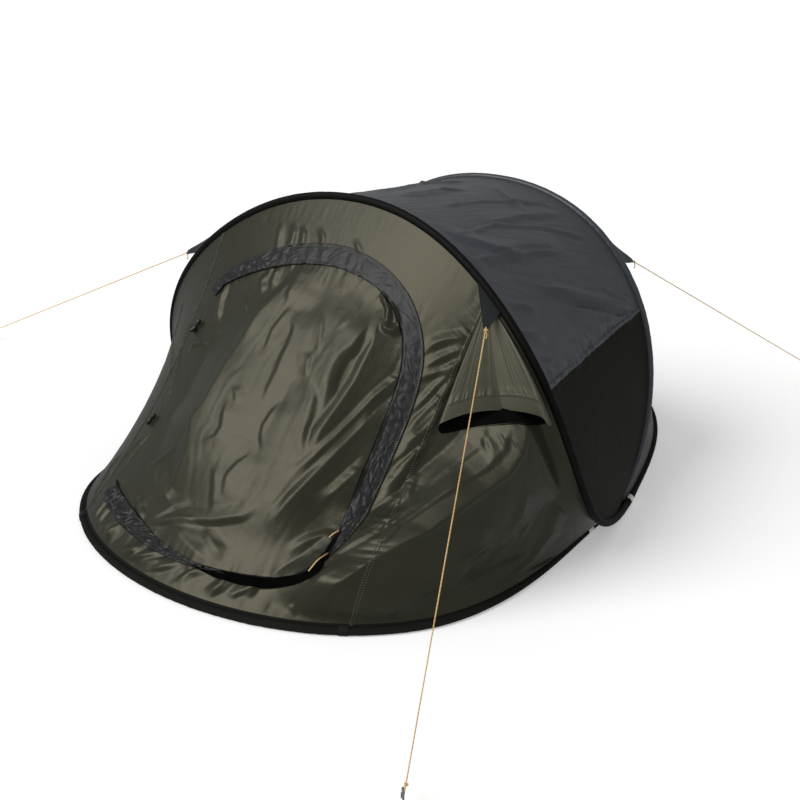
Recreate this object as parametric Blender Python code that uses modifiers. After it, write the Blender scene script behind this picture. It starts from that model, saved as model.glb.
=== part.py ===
"""Two-person pop-up tent: two sprung hoops that cross at the sides, sewn panels between them, a zipped
door, hooded vents front and rear, guy lines and pegs. Metres, +Z up, the ground at z = 0, door towards -Y."""

import math

import bmesh
import bpy
import numpy as np

# Right half of each closed hoop, from the middle of its ground arc round the side to the top of its arch.
GROUND_Z = 0.0112
FRONT_HOOP = (
    (0.000, -1.235, GROUND_Z),
    (0.727, -0.874, GROUND_Z),
    (0.764, -0.183, GROUND_Z),
    (0.745, 0.043, 0.025),
    (0.710, 0.252, 0.159),
    (0.622, 0.374, 0.517),
    (0.367, 0.405, 0.810),
    (0.000, 0.424, 0.896),
)
REAR_HOOP = (
    (0.000, 1.051, GROUND_Z),
    (0.452, 0.769, GROUND_Z),
    (0.692, 0.226, GROUND_Z),
    (0.745, 0.066, 0.016),
    (0.830, -0.267, 0.127),
    (0.747, -0.423, 0.546),
    (0.378, -0.383, 0.894),
    (0.000, -0.346, 0.978),
)
CROSSING_X = 0.745
CROSSING_Y = 0.055
CROSSING_SPREAD = 0.012
FINE_SAMPLES = 2400
STATIONS = 48

# Sleeves and sheets. Cloth and film are modelled thicker than they are.
SLEEVE_RADIUS = 0.011
SLEEVE_ROUNDNESS = 4
FABRIC = 0.003
TOUCH = 0.0005
FRONT_EDGE_GAP = 0.0017
ROOF_EDGE_GAP = 0.0008
REAR_EDGE_GAP = 0.0009
SLEEVE_TRIM = 0.0016
FRONT_SLACK = 0.48
ROOF_SLACK = 0.25
REAR_SLACK = 0.50
FRONT_ROWS = 13
ROOF_ROWS = 9
REAR_ROWS = 11
TIP_STATION = 2
SEAM_SHARE = 1.0 / 6.0
SIDE_SEAM_SHARE = 0.257

# Flat cloth of the front: a across from the middle, b up from the ground hoop.
CLOTH_WIDTH = 3.1
CLOTH_HEIGHT = 1.31
HINGE_A = -0.430
HINGE_LOW = 0.165
HINGE_HIGH = 1.000
DOOR_EDGE = (
    (HINGE_A, HINGE_HIGH),
    (-0.385, 1.045),
    (-0.260, 1.074),
    (-0.100, 1.100),
    (0.050, 1.110),
    (0.180, 1.092),
    (0.285, 1.040),
    (0.348, 0.950),
    (0.378, 0.800),
    (0.388, 0.550),
    (0.392, 0.320),
    (0.380, 0.200),
    (0.335, 0.138),
    (0.200, 0.108),
    (0.000, 0.092),
    (-0.250, 0.098),
    (-0.375, 0.117),
    (HINGE_A, HINGE_LOW),
)
DOOR_MIDDLE = (-0.02, 0.60)
EDGE_STEPS = 46
HINGE_STEPS = 10
DOOR_CLEARANCE = 0.005
HINGE_RAISE = 0.004
LEAF_RINGS = 6
FLAP_START = 0.008
FLAP_WIDTH = 0.052
FLAP_THICKNESS = 0.002
ZIP_RADIUS = 0.0016
ZIP_OFFSET = 0.004

# Rings of the centre panel: how far the first ones step away from the hinge, and the shares of the rest
HINGE_SIDE_STEP = 0.08
PANEL_RINGS = (0.33, 0.67, 1.0)

# Vent in the right front panel and in the left rear panel, as station share and height share.
VENT_HOLE = (
    (0.675, 0.880),
    (0.688, 0.940),
    (0.714, 0.948),
    (0.742, 0.945),
    (0.763, 0.936),
    (0.767, 0.912),
    (0.754, 0.850),
    (0.738, 0.783),
    (0.721, 0.718),
    (0.702, 0.658),
    (0.687, 0.614),
    (0.677, 0.594),
    (0.673, 0.640),
    (0.673, 0.760),
)
VENT_MIDDLE = (0.705, 0.820)
VENT_STEPS = 28
VENT_CUT = 0.02
VENT_MESH_SHARE = 0.996
VENT_MESH_RINGS = (0.35, 0.7, 1.0)

# Hood: its top corner, the two ends of its hem, how far the hem's middle is cut in, and how far the cloth
# stands off by share of the way from the seam to the arch
HOOD_TOP = (0.6735, 0.978)
HOOD_LOW = (0.6735, 0.604)
HOOD_SIDE = (0.779, 0.962)
HOOD_NARROW = 0.006
HOOD_BOW = 0.078
HOOD_RISE = 0.066
HOOD_ROWS = 9
HOOD_SEAT = 0.0002
HOOD_GROWTH = 1.1
HOOD_PROFILE = (
    (0.00, 0.02),
    (0.18, 0.04),
    (0.36, 0.09),
    (0.46, 0.18),
    (0.54, 0.41),
    (0.62, 0.64),
    (0.66, 0.54),
    (0.75, 0.75),
    (0.85, 0.95),
    (0.95, 1.15),
    (1.00, 0.40),
)

# Guy lines, pegs and small sewn pieces
ROPE_RADIUS = 0.0015
GUY_STATION_FRONT_RIGHT = 0.667
GUY_STATION_FRONT_LEFT = 0.308
GUY_STATION_REAR = 0.678
GUY_HALF_BASE = 0.045
GUY_HALF_TIP = 0.008
GUY_REACH = 0.125
PEG_FRONT_RIGHT = (1.123, -1.541)
PEG_FRONT_LEFT = (-2.174, -0.236)
PEG_REAR_RIGHT = (0.720, 1.575)
PEG_REAR_LEFT = (-0.720, 1.575)
PEG_RADIUS = 0.0025
PEG_HEIGHT = 0.055
PEG_HOOK = 0.018
ROPE_FOOT_Z = 0.030
LOOP_STATION_FRONT = 0.661
LOOP_STATION_REAR = 0.667
LOOP_LENGTH = 0.028
LOOP_THICKNESS = 0.002
TOGGLE_RADIUS = 0.005
TOGGLE_LENGTH = 0.034
TOGGLE_HEIGHTS = (0.456, 0.880)
TOGGLE_A = -0.458
TAG_SIZE = (0.024, 0.014, 0.0012)

OLIVE = "6B6656"
OLIVE_DARK = "46453C"
CHARCOAL = "4A4B4A"
SLATE = "484C50"
BLACK = "1C1C19"
ROPE_TAN = "D0A468"
STEEL = "B4B4B0"
PALE = "C9C8C2"


def clear_scene():
    for obj in list(bpy.data.objects):
        bpy.data.objects.remove(obj)


def linear(channel):
    return channel / 12.92 if channel <= 0.04045 else ((channel + 0.055) / 1.055) ** 2.4


def material(name, colour, roughness, metallic=0.0):
    """One Principled BSDF material from an sRGB hex colour."""
    made = bpy.data.materials.new(name)
    made.use_nodes = True
    shader = made.node_tree.nodes["Principled BSDF"]
    rgb = [linear(int(colour[i : i + 2], 16) / 255) for i in (0, 2, 4)]
    shader.inputs["Base Color"].default_value = (*rgb, 1.0)
    shader.inputs["Roughness"].default_value = roughness
    shader.inputs["Metallic"].default_value = metallic
    return made


def unit(vectors):
    return vectors / np.linalg.norm(vectors, axis=-1, keepdims=True)


def closed_spline(points, count):
    """Periodic cubic curve through the points. Its knots are spaced by the square root of each chord."""
    points = np.asarray(points, float)
    following = np.roll(points, -1, axis=0)
    step = np.sqrt(np.linalg.norm(following - points, axis=1))
    chord = (following - points) / step[:, None]
    before = np.roll(step, 1)
    index = np.arange(len(points))
    matrix = np.zeros((len(points), len(points)))
    matrix[index, index] = 2 * (step + before)
    matrix[index, index - 1] += step
    matrix[index, (index + 1) % len(points)] += before
    sides = 3 * (step[:, None] * np.roll(chord, 1, axis=0) + before[:, None] * chord)
    slope = np.linalg.solve(matrix, sides)
    knots = np.concatenate([[0], np.cumsum(step)])
    at = np.linspace(0, knots[-1], count, endpoint=False)
    k = np.searchsorted(knots, at, side="right") - 1
    following_k = (k + 1) % len(points)
    width = step[k][:, None]
    u = (at[:, None] - knots[k][:, None]) / width
    start = points[k] * (1 + 2 * u) * (1 - u) ** 2 + slope[k] * width * u * (1 - u) ** 2
    end = points[following_k] * u**2 * (3 - 2 * u) + slope[following_k] * width * u**2 * (u - 1)
    return start + end


def open_spline(points, count):
    """Catmull-Rom curve through the points, sampled evenly along its length."""
    points = np.asarray(points, float)
    padded = np.vstack([2 * points[0] - points[1], points, 2 * points[-1] - points[-2]])
    u = np.linspace(0, 1, 17)[:-1, None]
    runs = []
    for p0, p1, p2, p3 in zip(padded, padded[1:], padded[2:], padded[3:]):
        cubic = 2 * p1 + (p2 - p0) * u + (2 * p0 - 5 * p1 + 4 * p2 - p3) * u**2
        runs.append(0.5 * (cubic + (3 * p1 - p0 - 3 * p2 + p3) * u**3))
    return spaced(np.vstack([*runs, points[-1:]]), np.linspace(0, 1, count))


def spaced(points, shares):
    """Points at the given shares of a polyline's length."""
    run = np.concatenate([[0], np.cumsum(np.linalg.norm(np.diff(points, axis=0), axis=1))])
    at = np.asarray(shares) * run[-1]
    return np.stack([np.interp(at, run, points[:, axis]) for axis in range(points.shape[1])], -1)


def hoop_arcs(half, spread):
    """The ground arc and the arch of one hoop, each from the left crossing to the right one."""
    half = np.array(half)
    half[:, 0] *= (CROSSING_X + spread) / CROSSING_X
    loop = closed_spline(np.vstack([half, (half * (-1, 1, 1))[-2:0:-1]]), FINE_SAMPLES)
    loop[:, 2] = np.maximum(loop[:, 2], GROUND_Z)
    side = loop[: FINE_SAMPLES // 2, 1] - CROSSING_Y
    cut = int(np.argmax(side * side[0] < 0))
    ground = np.vstack([loop[-cut:], loop[: cut + 1]])
    arch = loop[cut : FINE_SAMPLES - cut + 1][::-1]
    shares = np.linspace(0, 1, STATIONS + 1)
    return spaced(ground, shares), spaced(arch, shares)


def edge_beside(curve, other, gap):
    """The curve moved off its sleeve towards the other one, square to the sleeve. Where that direction
    turns from station to station, it moves further, so that the straight edge between clears the sleeve."""
    towards = other - curve
    along = unit(np.gradient(curve, axis=0))
    towards = unit(towards - along * (towards * along).sum(-1, keepdims=True))
    half_turn = np.arccos(np.clip((towards[1:] * towards[:-1]).sum(-1), -1, 1)) / 2
    half_turn = np.maximum(np.append(half_turn, 0), np.insert(half_turn, 0, 0))
    return curve + (SLEEVE_RADIUS + gap) / np.cos(half_turn)[:, None] * towards


class Film:
    """Cloth stretched between two arcs: straight threads from one arc to the other, pulled part of
    the way to the stretched skin where each point is the mean of its four neighbours."""

    def __init__(self, low, high, rows, slack, gap):
        keep = slice(TIP_STATION, STATIONS + 1 - TIP_STATION)
        first = edge_beside(low, high, gap)[keep]
        last = edge_beside(high, low, gap)[keep]
        share = np.linspace(0, 1, rows)[:, None, None]
        straight = first[None] * (1 - share) + last[None] * share
        skin = straight.copy()
        for _ in range(900):
            around = skin[:-2, 1:-1] + skin[2:, 1:-1] + skin[1:-1, :-2] + skin[1:-1, 2:]
            skin[1:-1, 1:-1] = around / 4
        self.points = straight + slack * (skin - straight)
        self.rows = rows
        self.start = TIP_STATION / STATIONS
        across = np.gradient(self.points, axis=1)
        upward = np.gradient(self.points, axis=0)
        self.normals = unit(np.cross(across, upward))

    def blend(self, grid, s, t):
        """Bilinear value of a grid at station shares s and height shares t."""
        columns = grid.shape[1] - 1
        x = np.clip((np.asarray(s, float) - self.start) * STATIONS, 0, columns)
        y = np.clip(np.asarray(t, float) * (self.rows - 1), 0, self.rows - 1)
        i = np.minimum(x.astype(int), columns - 1)
        j = np.minimum(y.astype(int), self.rows - 2)
        u = (x - i)[..., None]
        v = (y - j)[..., None]
        low = grid[j, i] * (1 - u) + grid[j, i + 1] * u
        high = grid[j + 1, i] * (1 - u) + grid[j + 1, i + 1] * u
        return low * (1 - v) + high * v

    def at(self, s, t, rise=0.0):
        """Points on the cloth, raised along its outward normal."""
        place = self.blend(self.points, s, t)
        return place + np.asarray(rise)[..., None] * unit(self.blend(self.normals, s, t))

    def cloth(self, flat, rise=0.0):
        """Points at flat-cloth coordinates (a, b) of the front."""
        return self.at(0.5 + flat[..., 0] / CLOTH_WIDTH, flat[..., 1] / CLOTH_HEIGHT, rise)


def link(obj, look):
    obj.data.materials.append(look)
    bpy.data.collections["pop_up_tent"].objects.link(obj)
    return obj


def grid_mesh(name, points, look, wrap=False, centre=None):
    """Quads over a grid of points (rows, columns, 3). wrap closes the columns, centre closes row 0."""
    rows, columns = points.shape[:2]
    index = np.arange(rows * columns).reshape(rows, columns)
    if wrap:
        index = np.hstack([index, index[:, :1]])
    quads = [index[:-1, :-1], index[:-1, 1:], index[1:, 1:], index[1:, :-1]]
    faces = np.stack(quads, -1).reshape(-1, 4).tolist()
    vertices = points.reshape(-1, 3).tolist()
    if centre is not None:
        vertices.append(list(centre))
        hub = len(vertices) - 1
        faces += [[hub, int(b), int(a)] for a, b in zip(index[0], index[0][1:])]
    mesh = bpy.data.meshes.new(name)
    mesh.from_pydata(vertices, [], faces)
    mesh.update()
    mesh.shade_smooth()
    return link(bpy.data.objects.new(name, mesh), look)


def sheet(name, points, look, thickness=FABRIC, wrap=False, centre=None):
    """A cloth shell: an open surface with Solidify, half of the thickness on each side."""
    obj = grid_mesh(name, points, look, wrap, centre)
    shell = obj.modifiers.new("thickness", "SOLIDIFY")
    shell.thickness = thickness
    shell.offset = 0.0
    return obj


def tube(name, points, radius, look, roundness=2):
    """A round rod along a polyline, with filled ends."""
    curve = bpy.data.curves.new(name, "CURVE")
    curve.dimensions = "3D"
    curve.bevel_depth = radius
    curve.bevel_resolution = roundness
    curve.use_fill_caps = True
    spline = curve.splines.new("POLY")
    spline.points.add(len(points) - 1)
    for knot, point in zip(spline.points, points):
        knot.co = (*point, 1.0)
    return link(bpy.data.objects.new(name, curve), look)


def plate(name, outline, thickness, place, look):
    """A flat outline given thickness: place maps (x, y, z) of the plate to the tent."""
    shape = bmesh.new()
    lower = [shape.verts.new(place(x, y, 0.0)) for x, y in outline]
    upper = [shape.verts.new(place(x, y, thickness)) for x, y in outline]
    shape.faces.new(lower[::-1])
    shape.faces.new(upper)
    for i in range(len(outline)):
        j = (i + 1) % len(outline)
        shape.faces.new((lower[i], lower[j], upper[j], upper[i]))
    bmesh.ops.recalc_face_normals(shape, faces=shape.faces)
    mesh = bpy.data.meshes.new(name)
    shape.to_mesh(mesh)
    shape.free()
    return link(bpy.data.objects.new(name, mesh), look)


def axes_of(x_axis, z_hint):
    """Three unit axes: x as given, z as near the hint as square to x allows."""
    x_axis = unit(np.asarray(x_axis, float))
    z_axis = z_hint - x_axis * np.dot(z_hint, x_axis)
    z_axis = unit(z_axis)
    return x_axis, np.cross(z_axis, x_axis), z_axis


def placer(origin, x_axis, y_axis, z_axis):
    return lambda x, y, z: tuple(origin + x * x_axis + y * y_axis + z * z_axis)


def offset_outline(outline, distance):
    """An outline in flat cloth moved outwards by a distance, which may differ from point to point."""
    run = np.gradient(outline, axis=0)
    outward = unit(np.stack([-run[:, 1], run[:, 0]], -1))
    return outline + outward * np.asarray(distance).reshape(-1, 1)


def door_outline():
    """The opening in flat cloth, clockwise from the hinge top, then back up the hinge."""
    edge = open_spline(DOOR_EDGE, EDGE_STEPS)
    rise = np.linspace(HINGE_LOW, HINGE_HIGH, HINGE_STEPS + 1)[1:-1]
    hinge = np.stack([np.full(len(rise), HINGE_A), rise], -1)
    return edge, hinge


def to_border(outline, middle, low, high):
    """Where rays from the middle through the outline meet a rectangle, with its corners kept."""
    away = outline - middle
    reach = np.where(away > 0, high - middle, low - middle) / np.where(away == 0, 1e-9, away)
    hits = middle + away * reach.min(axis=1, keepdims=True)
    for corner in ((low[0], low[1]), (low[0], high[1]), (high[0], low[1]), (high[0], high[1])):
        hits[np.argmin(np.linalg.norm(hits - corner, axis=1))] = corner
    return hits


def make_sleeves(arcs, look):
    names = ("front_ground_sleeve", "rear_arch_sleeve", "rear_ground_sleeve", "front_arch_sleeve")
    for name, arc in zip(names, arcs):
        ends = arc.copy()
        ends[0] += SLEEVE_TRIM * unit(arc[1] - arc[0])
        ends[-1] += SLEEVE_TRIM * unit(arc[-2] - arc[-1])
        tube(name, ends, SLEEVE_RADIUS, look, SLEEVE_ROUNDNESS)


def cut(obj, rings):
    """Cuts the prism between two rings of points out of an object."""
    shape = bmesh.new()
    lower, upper = ([shape.verts.new(point) for point in ring] for ring in rings)
    shape.faces.new(lower[::-1])
    shape.faces.new(upper)
    for i in range(len(lower)):
        j = (i + 1) % len(lower)
        shape.faces.new((lower[i], lower[j], upper[j], upper[i]))
    bmesh.ops.triangulate(shape, faces=[face for face in shape.faces if len(face.verts) > 4])
    bmesh.ops.recalc_face_normals(shape, faces=shape.faces)
    mesh = bpy.data.meshes.new(obj.name + "_cutter")
    shape.to_mesh(mesh)
    shape.free()
    cutter = bpy.data.objects.new(obj.name + "_cutter", mesh)
    cutter.hide_render = True
    cutter.display_type = "WIRE"
    bpy.data.collections["cutters"].objects.link(cutter)
    hole = obj.modifiers.new("hole", "BOOLEAN")
    hole.operation = "DIFFERENCE"
    hole.solver = "EXACT"
    hole.object = cutter


def make_strip_panel(name, film, low_share, high_share, look):
    """A panel from one station share to another, over the whole height of the film."""
    columns = max(3, round((high_share - low_share) * STATIONS) + 1)
    s, t = np.meshgrid(np.linspace(low_share, high_share, columns), np.linspace(0, 1, film.rows))
    return sheet(name, film.at(s, t), look)


def make_front_centre(film, looks):
    """Olive panel with the door cut in it, the storm flap and the zip round it, and the door leaf."""
    edge, hinge = door_outline()
    opening = np.vstack([edge, hinge])
    middle = np.array(DOOR_MIDDLE)
    gap = TOUCH / 2 / CLOTH_WIDTH
    seam = SEAM_SHARE - gap
    low = np.array([-seam * CLOTH_WIDTH, 0.0])
    high = np.array([seam * CLOTH_WIDTH, CLOTH_HEIGHT])
    border = to_border(opening, middle, low, high)
    grown = opening + (border - opening) * HINGE_SIDE_STEP
    steps = np.array([0.0, FLAP_START, FLAP_START + FLAP_WIDTH / 2, FLAP_START + FLAP_WIDTH])
    near = [np.vstack([offset_outline(edge, step), hinge]) for step in steps]
    near = [np.where(np.arange(len(opening))[:, None] < len(edge), ring, opening + (grown - opening) * k)
            for k, ring in enumerate(near)]
    far = [near[-1] + (border - near[-1]) * share for share in PANEL_RINGS]
    rings = np.array(near + far)
    sheet("front_centre_panel", film.cloth(rings), looks["olive"], wrap=True)

    flap_rise = FABRIC / 2 + TOUCH + FLAP_THICKNESS / 2
    flap = rings[1:4, 1 : len(edge) - 1]
    sheet("storm_flap", film.cloth(flap, flap_rise), looks["charcoal"], FLAP_THICKNESS)
    zip_line = offset_outline(edge, ZIP_OFFSET)[2:-2]
    zip_rise = FABRIC / 2 + TOUCH + ZIP_RADIUS
    tube("door_zip", film.cloth(zip_line, zip_rise), ZIP_RADIUS, looks["black"])

    inner = offset_outline(edge, -DOOR_CLEARANCE)
    inner[:, 0] = np.maximum(inner[:, 0], HINGE_A + TOUCH)
    leaf_hinge = hinge + (TOUCH, 0)
    leaf_edge = np.vstack([inner, leaf_hinge])
    shares = np.linspace(0, 1, LEAF_RINGS + 1)[1:, None, None]
    leaf_rings = film.cloth(middle + (leaf_edge[None] - middle) * shares)
    pivot = film.cloth(np.array([[HINGE_A, HINGE_LOW], [HINGE_A, HINGE_HIGH]]), HINGE_RAISE)
    leaf = sheet("door_leaf", leaf_rings - pivot[0], looks["olive"], wrap=True,
                 centre=film.cloth(middle) - pivot[0])
    leaf.location = pivot[0]


def make_vented_panel(film, names, mirrored, looks):
    """A side panel with the vent hole, the mesh in the hole and the hood over it."""
    side = -1 if mirrored else 1
    panel_name, mesh_name, hood_name = names

    def place(flat, rise=0.0):
        flat = np.asarray(flat)
        return film.at(0.5 + side * (flat[..., 0] - 0.5), flat[..., 1], rise)

    seam = 0.5 + SEAM_SHARE + TOUCH / 2 / CLOTH_WIDTH
    columns = round((1 - film.start - seam) * STATIONS) + 1
    flat = np.stack(np.meshgrid(np.linspace(seam, 1 - film.start, columns), np.linspace(0, 1, film.rows)), -1)
    panel = sheet(panel_name, place(flat), looks["dark"])
    hole = closed_spline(VENT_HOLE, VENT_STEPS)
    cut(panel, np.array([place(hole, -VENT_CUT), place(hole, VENT_CUT)]))
    middle = np.array(VENT_MIDDLE)
    inner = middle + (hole - middle) * VENT_MESH_SHARE
    shares = np.array(VENT_MESH_RINGS)[:, None, None]
    discs = place(middle + (inner - middle)[None] * shares)
    sheet(mesh_name, discs, looks["black"], FABRIC / 2, wrap=True, centre=place(middle))

    profile = np.array(HOOD_PROFILE)
    down, across = np.meshgrid(np.linspace(0, 1, HOOD_ROWS), profile[:, 0], indexing="ij")
    top = np.array(HOOD_TOP)
    narrow = np.array([HOOD_NARROW, 0.0])
    seam_side = top + (np.array(HOOD_LOW) - top) * down[..., None]
    sleeve_side = top + narrow + (np.array(HOOD_SIDE) - top - narrow) * down[..., None]
    flat = seam_side + (sleeve_side - seam_side) * across[..., None]
    flat += (top - flat) * (HOOD_BOW * np.sin(math.pi * across) * down**2)[..., None]
    seat = FABRIC + TOUCH + HOOD_SEAT
    rise = seat + HOOD_RISE * profile[:, 1] * down**HOOD_GROWTH
    sheet(hood_name, place(flat, rise), looks["olive"])


def make_groundsheet(ground_front, ground_rear, look):
    """A flat sheet inside the two ground arcs, with its underside on the ground."""
    inset = math.sqrt((SLEEVE_RADIUS + TOUCH) ** 2 - (GROUND_Z - FABRIC) ** 2)
    outline = []
    for arc in (ground_front[1:-1], ground_rear[::-1][1:-1]):
        along = np.gradient(arc[:, :2], axis=0)
        inward = unit(np.stack([-along[:, 1], along[:, 0]], -1))
        outline += (arc[:, :2] + inward * inset).tolist()
    place = placer(np.zeros(3), *np.eye(3))
    return plate("groundsheet", outline, FABRIC, place, look)


def make_guy(name, arch, station, peg, looks):
    """A sewn patch on the arch, the rope from its tip and the peg that holds the rope."""
    at = spaced(arch, [station - 0.004, station, station + 0.004])
    along = unit(at[2] - at[0])
    foot = np.array([*peg, ROPE_FOOT_Z])
    away = unit(foot - at[1])
    square = unit(away - along * np.dot(away, along))
    arch_length = np.linalg.norm(np.diff(arch, axis=0), axis=1).sum()
    half_base = GUY_HALF_BASE / arch_length
    beside = spaced(arch, np.linspace(station - half_base, station + half_base, 7)) - at[1]
    beside += square * (SLEEVE_RADIUS + TOUCH)
    end = unit(along - away * np.dot(along, away)) * GUY_HALF_TIP
    corners = np.vstack([beside, away * GUY_REACH + end, away * GUY_REACH - end])
    normal = np.cross(along, square)
    place = placer(at[1] - normal * FABRIC / 2, along, square, normal)
    plate("guy_patch_" + name, corners @ np.stack([along, square], -1), FABRIC, place, looks["black"])
    start = at[1] + away * (GUY_REACH + TOUCH)
    stop = foot - away * (PEG_RADIUS + 2 * TOUCH) / max(0.2, np.linalg.norm(away[:2]))
    tube("guy_rope_" + name, [start, stop], ROPE_RADIUS, looks["rope"])
    outward = unit(np.array([away[0], away[1], 0.0]))
    ground = np.array([*peg, 0.0])
    top = ground + (0, 0, PEG_HEIGHT)
    bend = [top + outward * PEG_HOOK * (1 - math.cos(a)) / 2 + np.array([0, 0, PEG_HOOK / 2 * math.sin(a)])
            for a in np.linspace(0, math.pi, 9)]
    hook_end = bend[-1] - np.array([0, 0, PEG_HOOK / 2])
    tube("peg_" + name, [ground, *bend, hook_end], PEG_RADIUS, looks["steel"])


def make_peg_loop(name, arc, station, look):
    """Webbing folded over the ground sleeve, as a curved strip round its upper and outer side."""
    at = spaced(arc, [station - 0.005, station, station + 0.005])
    along = unit(at[2] - at[0])
    outward = unit(np.array([at[1][0], at[1][1], 0.0]))
    outward = unit(outward - along * np.dot(outward, along))
    radius = SLEEVE_RADIUS + TOUCH + LOOP_THICKNESS / 2
    angles = np.radians(np.linspace(-28, 100, 9))
    ring = at[1] + radius * (np.cos(angles)[:, None] * outward + np.sin(angles)[:, None] * np.array([0, 0, 1.0]))
    sides = np.array([-0.5, 0.5])[None, :, None] * along * LOOP_LENGTH
    return sheet(name, ring[:, None] + sides, look, LOOP_THICKNESS)


def make_toggle(name, film, height, looks):
    """A short bar toggle beside the hinge seam, lying on the left front panel."""
    flat = np.array([[TOGGLE_A, height - TOGGLE_LENGTH / 2], [TOGGLE_A, height + TOGGLE_LENGTH / 2]])
    ends = film.cloth(flat, FABRIC / 2 + TOUCH + TOGGLE_RADIUS)
    return tube(name, ends, TOGGLE_RADIUS, looks["black"], SLEEVE_ROUNDNESS)


def make_tag(name, arc, station, look):
    """A small bare sewn tag standing out of the ground sleeve near the right crossing."""
    at = spaced(arc, [station - 0.004, station, station + 0.004])
    along, _, upward = axes_of(at[2] - at[0], np.array([0, 0, 1.0]))
    outward = np.cross(along, upward)
    outward = outward if outward[0] > 0 else -outward
    length, width, thickness = TAG_SIZE
    origin = at[1] + outward * (SLEEVE_RADIUS + TOUCH) - along * length / 2
    outline = ((0, 0), (length, 0), (length, width), (0, width))
    return plate(name, outline, thickness, placer(origin, along, outward, upward), look)


def main():
    clear_scene()
    for name in ("pop_up_tent", "cutters"):
        bpy.context.scene.collection.children.link(bpy.data.collections.new(name))
    looks = {
        "olive": material("olive_polyester", OLIVE, 0.55),
        "dark": material("dark_olive_polyester", OLIVE_DARK, 0.55),
        "charcoal": material("charcoal_flap", CHARCOAL, 0.6),
        "slate": material("slate_roof_polyester", SLATE, 0.5),
        "black": material("black_webbing", BLACK, 0.7),
        "floor": material("grey_groundsheet", CHARCOAL, 0.5),
        "rope": material("tan_guy_rope", ROPE_TAN, 0.8),
        "steel": material("peg_steel", STEEL, 0.35, 1.0),
        "pale": material("pale_tag", PALE, 0.6),
    }
    ground_front, arch_rear = hoop_arcs(FRONT_HOOP, -CROSSING_SPREAD)
    ground_rear, arch_front = hoop_arcs(REAR_HOOP, CROSSING_SPREAD)
    make_sleeves((ground_front, arch_rear, ground_rear, arch_front), looks["black"])

    front = Film(ground_front, arch_front, FRONT_ROWS, FRONT_SLACK, FRONT_EDGE_GAP)
    roof = Film(arch_front, arch_rear, ROOF_ROWS, ROOF_SLACK, ROOF_EDGE_GAP)
    rear = Film(arch_rear, ground_rear, REAR_ROWS, REAR_SLACK, REAR_EDGE_GAP)
    gap = TOUCH / 2 / CLOTH_WIDTH
    low_seam = 0.5 - SEAM_SHARE
    high_seam = 0.5 + SEAM_SHARE
    start = TIP_STATION / STATIONS

    make_front_centre(front, looks)
    make_strip_panel("front_left_panel", front, start, low_seam - gap, looks["dark"])
    vent_front = ("front_right_panel", "front_vent_mesh", "front_vent_hood")
    make_vented_panel(front, vent_front, False, looks)
    side = SIDE_SEAM_SHARE
    make_strip_panel("roof_panel", roof, 0.5 - side + gap, 0.5 + side - gap, looks["slate"])
    make_strip_panel("left_side_panel", roof, start, 0.5 - side - gap, looks["black"])
    make_strip_panel("right_side_panel", roof, 0.5 + side + gap, 1 - start, looks["black"])
    make_strip_panel("rear_centre_panel", rear, low_seam + gap, high_seam - gap, looks["olive"])
    make_strip_panel("rear_left_panel", rear, start, low_seam - gap, looks["dark"])
    make_strip_panel("rear_right_panel", rear, high_seam + gap, 1 - start, looks["dark"])
    make_groundsheet(ground_front, ground_rear, looks["floor"])

    make_guy("front_right", arch_front, GUY_STATION_FRONT_RIGHT, PEG_FRONT_RIGHT, looks)
    make_guy("front_left", arch_front, GUY_STATION_FRONT_LEFT, PEG_FRONT_LEFT, looks)
    make_guy("rear_right", arch_rear, GUY_STATION_REAR, PEG_REAR_RIGHT, looks)
    make_guy("rear_left", arch_rear, 1 - GUY_STATION_REAR, PEG_REAR_LEFT, looks)
    make_peg_loop("peg_loop_front_right", ground_front, LOOP_STATION_FRONT, looks["black"])
    make_peg_loop("peg_loop_front_left", ground_front, 1 - LOOP_STATION_FRONT, looks["black"])
    make_peg_loop("peg_loop_rear_right", ground_rear, LOOP_STATION_REAR, looks["black"])
    make_peg_loop("peg_loop_rear_left", ground_rear, 1 - LOOP_STATION_REAR, looks["black"])
    make_toggle("door_toggle_lower", front, TOGGLE_HEIGHTS[0], looks)
    make_toggle("door_toggle_upper", front, TOGGLE_HEIGHTS[1], looks)
    make_tag("sewn_tag_front", ground_front, 0.962, looks["pale"])
    make_tag("sewn_tag_rear", ground_rear, 0.965, looks["pale"])


main()
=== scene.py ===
"""Looks of the pop-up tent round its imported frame. The front, roof and rear are sheets worked out from the
same two hoops as the solids, with folds pressed into them. Metres, +Z up, door towards -Y."""
import math

import bpy
import numpy as np
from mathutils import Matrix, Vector


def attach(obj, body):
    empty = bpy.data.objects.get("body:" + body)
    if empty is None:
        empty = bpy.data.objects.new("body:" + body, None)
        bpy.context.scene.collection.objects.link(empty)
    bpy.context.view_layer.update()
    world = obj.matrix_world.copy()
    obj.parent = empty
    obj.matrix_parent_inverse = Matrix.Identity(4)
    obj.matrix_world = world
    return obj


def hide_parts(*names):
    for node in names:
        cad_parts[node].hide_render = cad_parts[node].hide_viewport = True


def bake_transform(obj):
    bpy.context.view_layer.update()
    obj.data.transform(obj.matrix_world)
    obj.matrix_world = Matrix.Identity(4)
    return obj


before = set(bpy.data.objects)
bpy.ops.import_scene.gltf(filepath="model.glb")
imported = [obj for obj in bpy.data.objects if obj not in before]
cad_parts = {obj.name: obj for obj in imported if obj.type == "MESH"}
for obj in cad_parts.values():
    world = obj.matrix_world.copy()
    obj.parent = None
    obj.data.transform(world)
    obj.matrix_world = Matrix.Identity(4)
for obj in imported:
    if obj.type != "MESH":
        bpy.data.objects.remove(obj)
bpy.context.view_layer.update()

# Right half of each closed hoop, from the middle of its ground arc round the side to the top of its arch
GROUND_Z = 0.0112
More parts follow.
